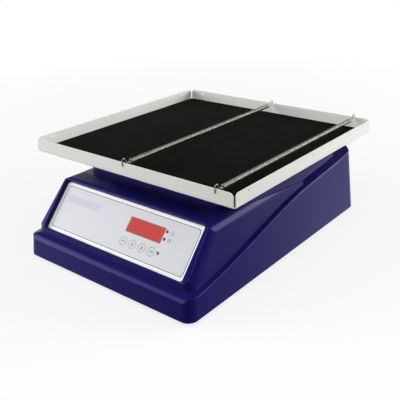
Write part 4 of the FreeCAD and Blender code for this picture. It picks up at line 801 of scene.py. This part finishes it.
@dataclass(frozen=True)
class CrossScrew:
    """A pan head screw with a cross recess: sizes in millimetres, and its rounds as shares of them."""

    radius: float
    height: float
    shank: float
    length: float
    pitch: float = 0.7
    crest: float = 0.05
    root: float = 0.82
    point: float = 0.4
    dome: tuple[Flat, ...] = ((1.0, 0.0), (1.0, 0.45), (0.93, 0.72), (0.78, 0.93), (0.66, 1.0))
    recess: tuple[Triple, ...] = ((0.52, 0.13, 1.0), (0.30, 0.08, 0.42))

    @staticmethod
    def cross(half: float, arm: float) -> Outline:
        """Draws the cross of the recess.

        Args:
            half: The half length of the cross.
            arm: The half width of its arms.

        Returns:
            The closed outline, six points to a quarter.
        """
        bend = (half + arm) / 2
        quarter = [(half, 0.0), (half, arm), (bend, arm), (arm, arm), (arm, bend), (arm, half)]
        turns = ((1, 0), (0, 1), (-1, 0), (0, -1))
        return [(x * c - y * s, x * s + y * c) for c, s in turns for x, y in quarter]

    def build(self, form: Form, plane: Matrix) -> None:
        """Adds the screw to a form.

        Args:
            form: The form that gets the screw.
            plane: The seat of the head, which rises along the plane's own axis.
        """
        profile = [(self.shank * self.point, -self.length)]
        for turn in range(int(self.length / self.pitch)):
            start = -self.length + self.pitch * turn
            profile.append((self.shank * self.root, start + self.pitch / 2))
            profile.append((self.shank, start + self.pitch - self.crest))
        profile.append((self.shank, 0.0))
        profile += [(self.radius * share, self.height * rise) for share, rise in self.dome]
        crosses = [(self.cross(self.radius * half, self.radius * arm), self.height * rise)
                   for half, arm, rise in self.recess]
        form.stack(plane, [(circle(CENTRE, r, len(crosses[0][0])), h) for r, h in profile] + crosses)


@dataclass
class Tray:
    """The circling tray with its mat and its two retaining springs; sizes in millimetres."""

    body: str = "tray"
    mat_round: float = 0.35
    mat_corner: float = 3.0
    wire: float = 0.9
    wire_sides: int = 8
    wire_sharp: float = 60.0
    coil_steps: int = 14
    packing: float = 1.03
    hole_drop: float = 3.0
    hook_tip: float = 1.8
    hook_stand: float = 0.5
    hook_bend: float = 0.6
    hook_width: float = 4.2
    hook_rise: float = 3.05
    hook_steps: tuple[int, int, int] = (5, 12, 6)
    axis_drop: float = 1.5
    elbow: float = 2.3
    lead: float = 3.0

    def build(self) -> None:
        """Builds the mat and the springs."""
        self.mat()
        for node in ("retaining_spring_middle", "retaining_spring_right"):
            self.spring(node)

    def mat(self) -> None:
        """Lays the rubber mat, with its cut edges softened."""
        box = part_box("tray_mat")
        middle, size = extent(box, MM)
        soft = self.mat_round
        inset = soft * (1 - math.sqrt(0.5))
        rounds = [(soft, 0.0), (inset, inset), (0.0, soft)]
        rounds += [(cut, size.z - level) for cut, level in reversed(rounds)]
        form = Form()
        form.stack(Matrix.Translation((0.0, 0.0, box[0].z)), [
            (rounded_box(tuple(middle.xy), size.x - 2 * cut, size.y - 2 * cut, self.mat_corner - cut), level)
            for cut, level in rounds])
        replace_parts(form.piece("tray_mat_sheet", MAT_BLACK, self.body), "tray_mat")

    def hook(self, face: float, inward: float, x: float, rim: float) -> list[Vector]:
        """Bends the hook at one rim, from its tip to the start of the coil.

        Args:
            face: The rim's outer face.
            inward: +1 or -1, the way into the tray.
            x: The spring's place across the tray.
            rim: The height of the rim's upper edge.

        Returns:
            The hook's middle line in metres.
        """
        hole, axis = rim - self.hole_drop, rim - self.axis_drop
        stand, half, bend = self.hook_stand, self.hook_width / 2, self.hook_bend
        crown, down = rim + self.hook_rise - half, self.hook_width - stand
        bend_steps, crown_steps, elbow_steps = self.hook_steps
        flat = [(self.hook_tip, hole), (self.hook_tip / 2, hole)]
        flat += arc((bend - stand, hole + bend), bend, -90.0, -180.0, bend_steps)
        flat += [(-stand, (hole + crown) / 2)]
        flat += arc((half - stand, crown), half, 180.0, 0.0, crown_steps)
        flat += arc((down + self.elbow, axis + self.elbow), self.elbow, 180.0, 270.0, elbow_steps)
        return [Vector((x, face + inward * q, z)) * MM for q, z in flat]

    def spring(self, node: str) -> None:
        """Winds one close-wound spring with a hook at either end.

        Args:
            node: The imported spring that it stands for.
        """
        middle, size = extent(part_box(node), MM)
        tray_low, tray_high = (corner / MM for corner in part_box("tray"))
        x, rim = middle.x, tray_high.z
        front = self.hook(tray_low.y, 1.0, x, rim)
        rear = self.hook(tray_high.y, -1.0, x, rim)
        start, stop = front[-1].y / MM + self.lead, rear[-1].y / MM - self.lead
        count = round((stop - start) / (self.wire * self.packing)) * self.coil_steps
        half_turn = self.coil_steps / 2
        coil = []
        for i in range(count + 1):
            ramp = min(1.0, i / half_turn, (count - i) / half_turn)
            radius = (size.x - self.wire) / 2 * math.sin(ramp * math.pi / 2)
            angle = math.pi * i / half_turn
            y, z = start + (stop - start) * i / count, rim - self.axis_drop + radius * math.cos(angle)
            coil.append(Vector((x + radius * math.sin(angle), y, z)) * MM)
        form = Form()
        sweep(form, front + coil + rear[::-1], self.wire / 2 * MM, self.wire_sides)
        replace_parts(form.piece(f"{node}_coil", SPRING_WIRE, self.body, self.wire_sharp), node)


@dataclass
class ControlPanel:
    """The sloping control face with its film, window, keys and lamps; sizes in millimetres."""

    border_inset: float = 3.0
    border_width: float = 0.62
    border_corner: float = 4.0
    stripe_corner: Flat = (-74.0, 29.5)
    stripe_size: Flat = (40.0, 6.5)
    stripe_slant: float = 0.6
    window_insets: Flat = (0.05, 0.45)
    window_corners: Flat = (0.4, 0.2)
    window_steps: int = 2
    window_ink: float = 0.02
    digits: int = 4
    digit_size: Flat = (5.2, 9.0)
    digit_pitch: float = 8.6
    digit_lean: float = 0.12
    bar_width: float = 0.9
    bar_gap: float = 0.25
    bar_point: float = 0.8
    key_edge: float = 0.25
    key_ring: float = 0.22
    lamp_steps: int = 28
    lamp_shoulder: float = 0.35
    lamp_rounds: tuple[float, ...] = (20.0, 40.0, 60.0, 78.0)
    lamp_tip: float = 0.04
    lamp_sharp: float = 50.0
    lamp_gap: float = 5.6

    def __post_init__(self) -> None:
        """Finds the film's plane in the frame."""
        press = next(j for j in frame["joints"] if j["name"] == "start_key_press")
        out = -Vector(press["axis"]).normalized()
        self.up = out.cross(ACROSS)
        points = corners("control_overlay")
        along = [p.dot(self.up) for p in points]
        middle, size = extent(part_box("control_overlay"))
        self.width, self.length = size.x / MM, (max(along) - min(along)) / MM
        face = max(p.dot(out) for p in points)
        self.plane = plane_at(ACROSS * middle.x + self.up * min(along) + out * face, ACROSS, self.up, out)

    def box(self, points: Iterable[Vector]) -> Box:
        """Boxes some points as they lie on the panel, in millimetres."""
        level = self.plane.inverted()
        return points_box((level @ p) / MM for p in points)

    def build(self) -> None:
        """Builds the prints, the key signs, the window's digits and the lamps."""
        self.dress_film()
        self.border()
        self.stripe()
        self.window()
        self.keys()
        self.lamps()
        self.lamp_signs()

    def dress_film(self) -> None:
        """Gives the overlay its printed film."""
        half = (self.width / 2 - self.border_inset, self.length / 2 - self.border_inset)
        centre = self.plane @ Vector((0.0, self.length / 2 * MM, 0.0))
        dress("control_overlay", replace(PRINTED_FILM, centre=centre, up=self.up, half=half))

    def border(self) -> None:
        """Prints the thin line round the film."""
        ink = Print(self.plane, "control_overlay")
        ink.band(*(
            rounded_box((0.0, self.length / 2), self.width - 2 * (self.border_inset + cut),
                        self.length - 2 * (self.border_inset + cut), self.border_corner - cut)
            for cut in (0.0, self.border_width)))
        ink.piece("film_border_line", INK_GREY, "base")

    def stripe(self) -> None:
        """Prints a plain pale stripe at the upper left."""
        (left, low), (width, height) = self.stripe_corner, self.stripe_size
        right, top = left + width, low + height
        slanted = right + height * self.stripe_slant
        ink = Print(self.plane, "control_overlay")
        ink.patch([(left, low), (right, low), (slanted, top), (left, top)])
        ink.piece("film_pale_stripe", INK_PALE, "base")

    def window(self) -> None:
        """Frames the display window and marks its unlit digits."""
        middle, size = extent(self.box(corners("display_window")))
        edge, digits = (Print(self.plane, "display_window", ink=self.window_ink) for _ in range(2))
        edge.band(*(
            rounded_box(tuple(middle.xy), size.x - 2 * inset, size.y - 2 * inset, corner, self.window_steps)
            for inset, corner in zip(self.window_insets, self.window_corners)))
        edge.piece("window_edge_line", INK_GREY, "base")
        for i in range(self.digits):
            self.digit(digits, (middle.x + (i - (self.digits - 1) / 2) * self.digit_pitch, middle.y))
        digits.piece("window_digits", SEGMENT_RED, "base")

    def digit(self, ink: Print, centre: Flat) -> None:
        """Adds the seven unlit bars of one digit to a print.

        Args:
            ink: The print that gets the bars.
            centre: The digit's middle on the panel.
        """
        w, h = self.digit_size
        bars = [((0.0, y), w, False) for y in (-h / 2, 0.0, h / 2)]
        bars += [((x, y), h / 2, True) for x in (-w / 2, w / 2) for y in (-h / 4, h / 4)]
        for place, length, upright in bars:
            outline = self.bar(place, length - self.bar_width - 2 * self.bar_gap, upright)
            ink.patch([(centre[0] + x + self.digit_lean * y, centre[1] + y) for x, y in outline])

    def bar(self, place: Flat, length: float, upright: bool) -> Outline:
        """Draws one pointed bar of a digit.

        Args:
            place: The bar's middle from the digit's.
            length: The bar's length without its points.
            upright: Whether it stands upright.

        Returns:
            The bar's outline about the digit's middle.
        """
        half, side = length / 2, self.bar_width / 2
        tip = half + side * self.bar_point
        outline = [(-tip, 0.0), (-half, -side), (half, -side), (tip, 0.0), (half, side), (-half, side)]
        if upright:
            outline = [(-y, x) for x, y in outline]
        return [(place[0] + x, place[1] + y) for x, y in outline]

    def keys(self) -> None:
        """Prints a ring and a sign on each key."""
        for node, sign in KEY_SIGNS.items():
            middle, size = extent(self.box(corners(node)))
            centre = tuple(middle.xy)
            ink = Print(self.plane, node)
            ink.hoop(centre, size.x / 2 - self.key_edge, self.key_ring)
            sign.draw(ink, centre)
            ink.piece(f"{node}_print", INK_GREY, body_of(node))

    def lamps(self) -> None:
        """Caps each indicator lamp with a domed lens."""
        form = Form()
        for points in islands("indicator_lamps"):
            low, high = self.box(points)
            middle, size = extent((low, high))
            radius, shoulder = size.x / 2, high.z * self.lamp_shoulder
            profile = [(radius, low.z), (radius, shoulder)]
            profile += [(radius * math.cos(a), shoulder + (high.z - shoulder) * math.sin(a))
                        for a in map(math.radians, self.lamp_rounds)]
            profile.append((radius * self.lamp_tip, high.z))
            plane = self.plane @ Matrix.Translation(Vector((middle.x, middle.y, 0.0)) * MM)
            form.stack(plane, [(circle(CENTRE, r, self.lamp_steps), h) for r, h in profile])
        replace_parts(form.piece("indicator_lamp_lenses", LAMP_RED, "base", self.lamp_sharp), "indicator_lamps")

    def lamp_signs(self) -> None:
        """Prints a turning arrow and a clock beside the upper lamps."""
        middles = [extent(self.box(points))[0] for points in islands("indicator_lamps")]
        ink = Print(self.plane, "control_overlay")
        for middle, sign in zip(sorted(middles, key=lambda p: -p.y), (TURN_SIGN, CLOCK_SIGN)):
            sign.draw(ink, (middle.x + self.lamp_gap, middle.y))
        ink.piece("lamp_signs", INK_GREY, "base")


@dataclass
class Underside:
    """The closing screws seen from below; limits in metres, or as a share of the head."""

    rim_share: float = 0.9
    above_seat: float = 1e-5
    off_axis: float = 1e-4

    def build(self) -> None:
        """Builds the screws that are driven up through the base plate, with their heads down."""
        form = Form()
        for points in islands("housing_screws"):
            low, high = points_box(points)
            middle, size = extent((low, high))
            rings = [((p.xy - middle.xy).length, p.z) for p in points]
            seat = max(z for r, z in rings if r > size.x / 2 * self.rim_share)
            shank = min(r for r, z in rings if z > seat + self.above_seat and r > self.off_axis)
            plane = Matrix.Translation((middle.x, middle.y, seat)) @ Matrix.Rotation(math.pi, 4, "X")
            sizes = (size.x / 2, seat - low.z, shank, high.z - seat)
            CrossScrew(*(v / MM for v in sizes)).build(form, plane)
        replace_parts(form.piece("housing_screws_cross", SCREW_ZINC, "base"), "housing_screws")


@dataclass
class RearPanel:
    """The inlet's pins and screws and the rocker's marks at the rear; sizes in millimetres."""

    pin_spacing: float = 7.0
    pin_rise: float = 2.5
    pin_size: Flat = (2.0, 4.0)
    pin_sleeve: float = 0.04
    pin_length: float = 8.6
    pin_end: tuple[Flat, ...] = ((0.0, -0.5), (0.25, -0.1))
    pin_tip: float = 0.6
    pin_corner: float = 0.3
    pin_steps: int = 2
    flange_spacing: float = 40.0
    flange_screw: CrossScrew = CrossScrew(2.6, 1.2, 1.4, 2.0)
    mark_size: float = 1.6
    mark_line: float = 0.55
    mark_offset: float = 3.9
    mark_ink: float = 0.05
    stand_off: float = 50.0

    def __post_init__(self) -> None:
        """Finds the inlet's middle."""
        self.inlet = extent(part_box("mains_inlet"), MM)[0]

    def build(self) -> None:
        """Builds the pins, the flange screws and the marks."""
        self.pins()
        self.screws()
        self.marks()

    def seat(self, across: float, rise: float) -> Matrix:
        """Finds the inlet's face from behind.

        Args:
            across: The place across from the inlet's middle, in millimetres.
            rise: The height over it, in millimetres.

        Returns:
            A plane on the face, with its axis out of it.
        """
        behind = CAD_BOX[1].y / MM + self.stand_off
        start = Vector((self.inlet.x + across, behind, self.inlet.z + rise)) * MM
        spot, normal = surface("mains_inlet").ray_cast(start, -REARWARD)[:2]
        return plane_at(spot, ACROSS, normal.cross(ACROSS), normal)

    def pins(self) -> None:
        """Sleeves the inlet's pins in nickel."""
        width, height = (size + 2 * self.pin_sleeve for size in self.pin_size)
        rounds = ((0.0, -self.pin_length), *self.pin_end, (self.pin_tip, self.pin_sleeve))
        corner = (self.pin_corner, self.pin_steps)
        layers = [(rounded_box(CENTRE, width - 2 * cut, height - 2 * cut, *corner), level)
                  for cut, level in rounds]
        form = Form()
        for side, rise in ((-1, -1), (1, -1), (0, 1)):
            form.stack(self.seat(side * self.pin_spacing, rise * self.pin_rise), layers)
        form.piece("inlet_pins", PIN_NICKEL, "base")

    def screws(self) -> None:
        """Sets a screw at either end of the inlet's flange."""
        form = Form()
        for side in (-0.5, 0.5):
            self.flange_screw.build(form, self.seat(side * self.flange_spacing, 0.0))
        form.piece("inlet_flange_screws", SCREW_ZINC, "base")

    def marks(self) -> None:
        """Prints the bar and the ring on the rocker's two halves."""
        middle = extent(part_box("power_rocker"), MM)[0]
        plane = plane_at(REARWARD * CAD_BOX[1].y, -ACROSS, UPRIGHT, REARWARD)
        x, bar, ring = -middle.x, middle.z + self.mark_offset, middle.z - self.mark_offset
        ink = Print(plane, "power_rocker", ink=self.mark_ink)
        ink.stroke([(x, bar - self.mark_size), (x, bar + self.mark_size)], self.mark_line)
        ink.hoop((x, ring), self.mark_size, self.mark_line)
        ink.piece("rocker_marks", INK_WHITE, "rocker")


@dataclass(frozen=True)
class Softbox:
    """An oblong lamp: its place and size in metres and its power in watts."""

    name: str
    place: Triple
    size: Flat
    power: float

    def hang(self, aim: Vector) -> None:
        """Hangs the lamp.

        Args:
            aim: The point that it looks at.
        """
        light = bpy.data.lights.new(self.name, "AREA")
        light.shape = "RECTANGLE"
        light.size, light.size_y = self.size
        light.energy = self.power
        lamp = bpy.data.objects.new(self.name, light)
        lamp.location = self.place
        lamp.rotation_euler = (Vector(self.place) - aim).to_track_quat("Z", "Y").to_euler()
        bpy.context.scene.collection.objects.link(lamp)


@dataclass
class Studio:
    """The floor, the light and the camera; sizes in metres, angles in degrees."""

    floor_size: float = 8.0
    floor_colour: Colour = (0.92, 0.92, 0.92)
    floor_bounce: Colour = (0.5, 0.5, 0.5)
    # painted shade: the floor's colour for bounced and reflected rays on the camera's side, far darker than it
    # looks from the eye, so the machine's near faces stay in shade
    painted_shade_bounce: Colour = (0.04, 0.04, 0.042)
    floor_roughness: float = 0.9
    floor_shine: float = 0.1
    fade_start: float = 0.3
    fade_stop: float = 0.95
    near: float = 0.72
    far: float = 1.0
    world: float = 0.28
    walls: float = 0.9
    ceiling: float = 0.30
    ceiling_spread: Flat = (0.15, 0.7)
    open_axis: Triple = (0.63, -0.77, 0.0)
    open_spread: Flat = (-0.1, 0.7)
    open_side: float = 0.02
    # the span along the camera's side over which that painted shade on the floor comes in
    painted_shade_spread: Flat = (0.0, 0.24)
    lens: float = 54.818
    sensor: float = 36.0
    azimuth: float = 39.283
    elevation: float = 23.841
    roll: float = -1.436
    eye: Triple = (0.35080, -0.43326, 0.27970)
    aim_height: float = 0.06
    lamps: tuple[Softbox, ...] = (
        Softbox("right_softbox", (1.2, 1.25, 0.5), (1.6, 0.9), 33.0),
        Softbox("left_softbox", (-1.3, -1.15, 0.5), (1.6, 0.9), 25.0),
        Softbox("top_softbox", (0.55, -0.75, 1.3), (0.9, 0.9), 12.0),
    )

    def build(self) -> None:
        """Builds the floor, the world, the lamps and the camera."""
        bpy.context.scene.view_settings.view_transform = "Standard"
        self.floor()
        self.surround()
        for lamp in self.lamps:
            lamp.hang(UPRIGHT * self.aim_height)
        self.camera()

    def floor(self) -> None:
        """Lays the pale floor, which fades to white away from the machine, with painted shade on its camera side
        for bounced and reflected rays.
        """
        half = self.floor_size / 2
        mesh = bpy.data.meshes.new("floor")
        square = [(x * half, y * half, 0.0) for x, y in ((-1, -1), (1, -1), (1, 1), (-1, 1))]
        mesh.from_pydata(square, [], [(0, 1, 2, 3)])
        floor = bpy.data.objects.new("floor", mesh)
        bpy.context.scene.collection.objects.link(floor)
        sketch = Sketch("pale_floor")
        eye, mirror = sketch.rays()
        # Painted shade: on the camera's side the floor bounces and mirrors a dark colour, though it looks pale
        # from the eye; elsewhere it bounces a mid grey and mirrors white.
        lit = sketch.span(sketch.dot(sketch.place, self.open_axis), 1.0, 0.0, *self.painted_shade_spread)
        bounce = sketch.blend(lit, self.painted_shade_bounce, self.floor_bounce)
        sketch.feed(sketch.shader, Base_Color=sketch.blend(eye, bounce, self.floor_colour),
                    Roughness=self.floor_roughness, Specular_IOR_Level=self.floor_shine)
        away = sketch.math("LENGTH", sketch.place, kind="VectorMath")
        fade = sketch.span(away, self.near, self.far, self.fade_start, self.fade_stop)
        share = sketch.math("ADD", sketch.math("MULTIPLY", fade, eye), sketch.math("MULTIPLY", lit, mirror))
        glow = sketch.node("Emission", Color=WHITE, Strength=1.0)
        mix = sketch.node("MixShader")
        for socket, value in zip(mix.inputs, (share, sketch.shader.outputs[0], glow.outputs[0])):
            sketch.join(socket, value)
        sketch.feed(sketch.tree.nodes["Material Output"], Surface=mix.outputs[0])
        mesh.materials.append(sketch.material)

    def surround(self) -> None:
        """Lights the room from its walls, under a dimmer ceiling and with a dark side by the camera."""
        world = bpy.data.worlds.new("studio")
        world.use_nodes = True
        bpy.context.scene.world = world
        sky = Wiring(world.node_tree)
        way = sky.node("TexCoord").outputs["Generated"]
        open_side = sky.span(sky.dot(way, self.open_axis), 1.0, self.open_side, *self.open_spread)
        ceiling = sky.span(sky.dot(way, UPRIGHT), 1.0, self.ceiling, *self.ceiling_spread)
        eye, mirror = sky.rays()
        lighting = sky.math("MULTIPLY", open_side, self.world)
        mirrored = sky.math("MULTIPLY", sky.math("MULTIPLY", open_side, ceiling), self.walls)
        level = sky.span(mirror, lighting, mirrored, 0.0, 1.0)
        sky.feed(sky.tree.nodes["Background"], Color=WHITE, Strength=sky.math("MAXIMUM", level, eye))

    def camera(self) -> None:
        """Sets the camera at the photograph's view."""
        a, e, r = (math.radians(v) for v in (self.azimuth, self.elevation, self.roll))
        right = Vector((math.cos(a), math.sin(a), 0.0))
        back = Vector((math.sin(a) * math.cos(e), -math.cos(a) * math.cos(e), math.sin(e)))
        tilted = right * math.cos(r) + back.cross(right) * math.sin(r)
        data = bpy.data.cameras.new("camera")
        data.lens = self.lens
        data.sensor_width = self.sensor
        eye = bpy.data.objects.new("camera", data)
        eye.matrix_world = plane_at(Vector(self.eye), tilted, back.cross(tilted), back)
        bpy.context.scene.collection.objects.link(eye)
        bpy.context.scene.camera = eye


def dress_nodes() -> None:
    """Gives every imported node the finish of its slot."""
    by_slot = {finish.slot.value: finish for finish in NODE_FINISHES}
    for row in frame["record"]["subparts"]:
        finish = by_slot.get(row["material_slot"])
        if finish is not None:
            dress(row["node"], finish)
            LOG.info("%s: %s", row["node"], finish.name)


def main() -> None:
    """Builds the machine's pieces in order."""
    logging.basicConfig(level=logging.INFO, format="%(message)s")
    dress_nodes()
    for part in (Tray(), ControlPanel(), Underside(), RearPanel(), Studio()):
        part.build()
        LOG.info("built %s", type(part).__name__)


if __name__ == "__main__":
    main()
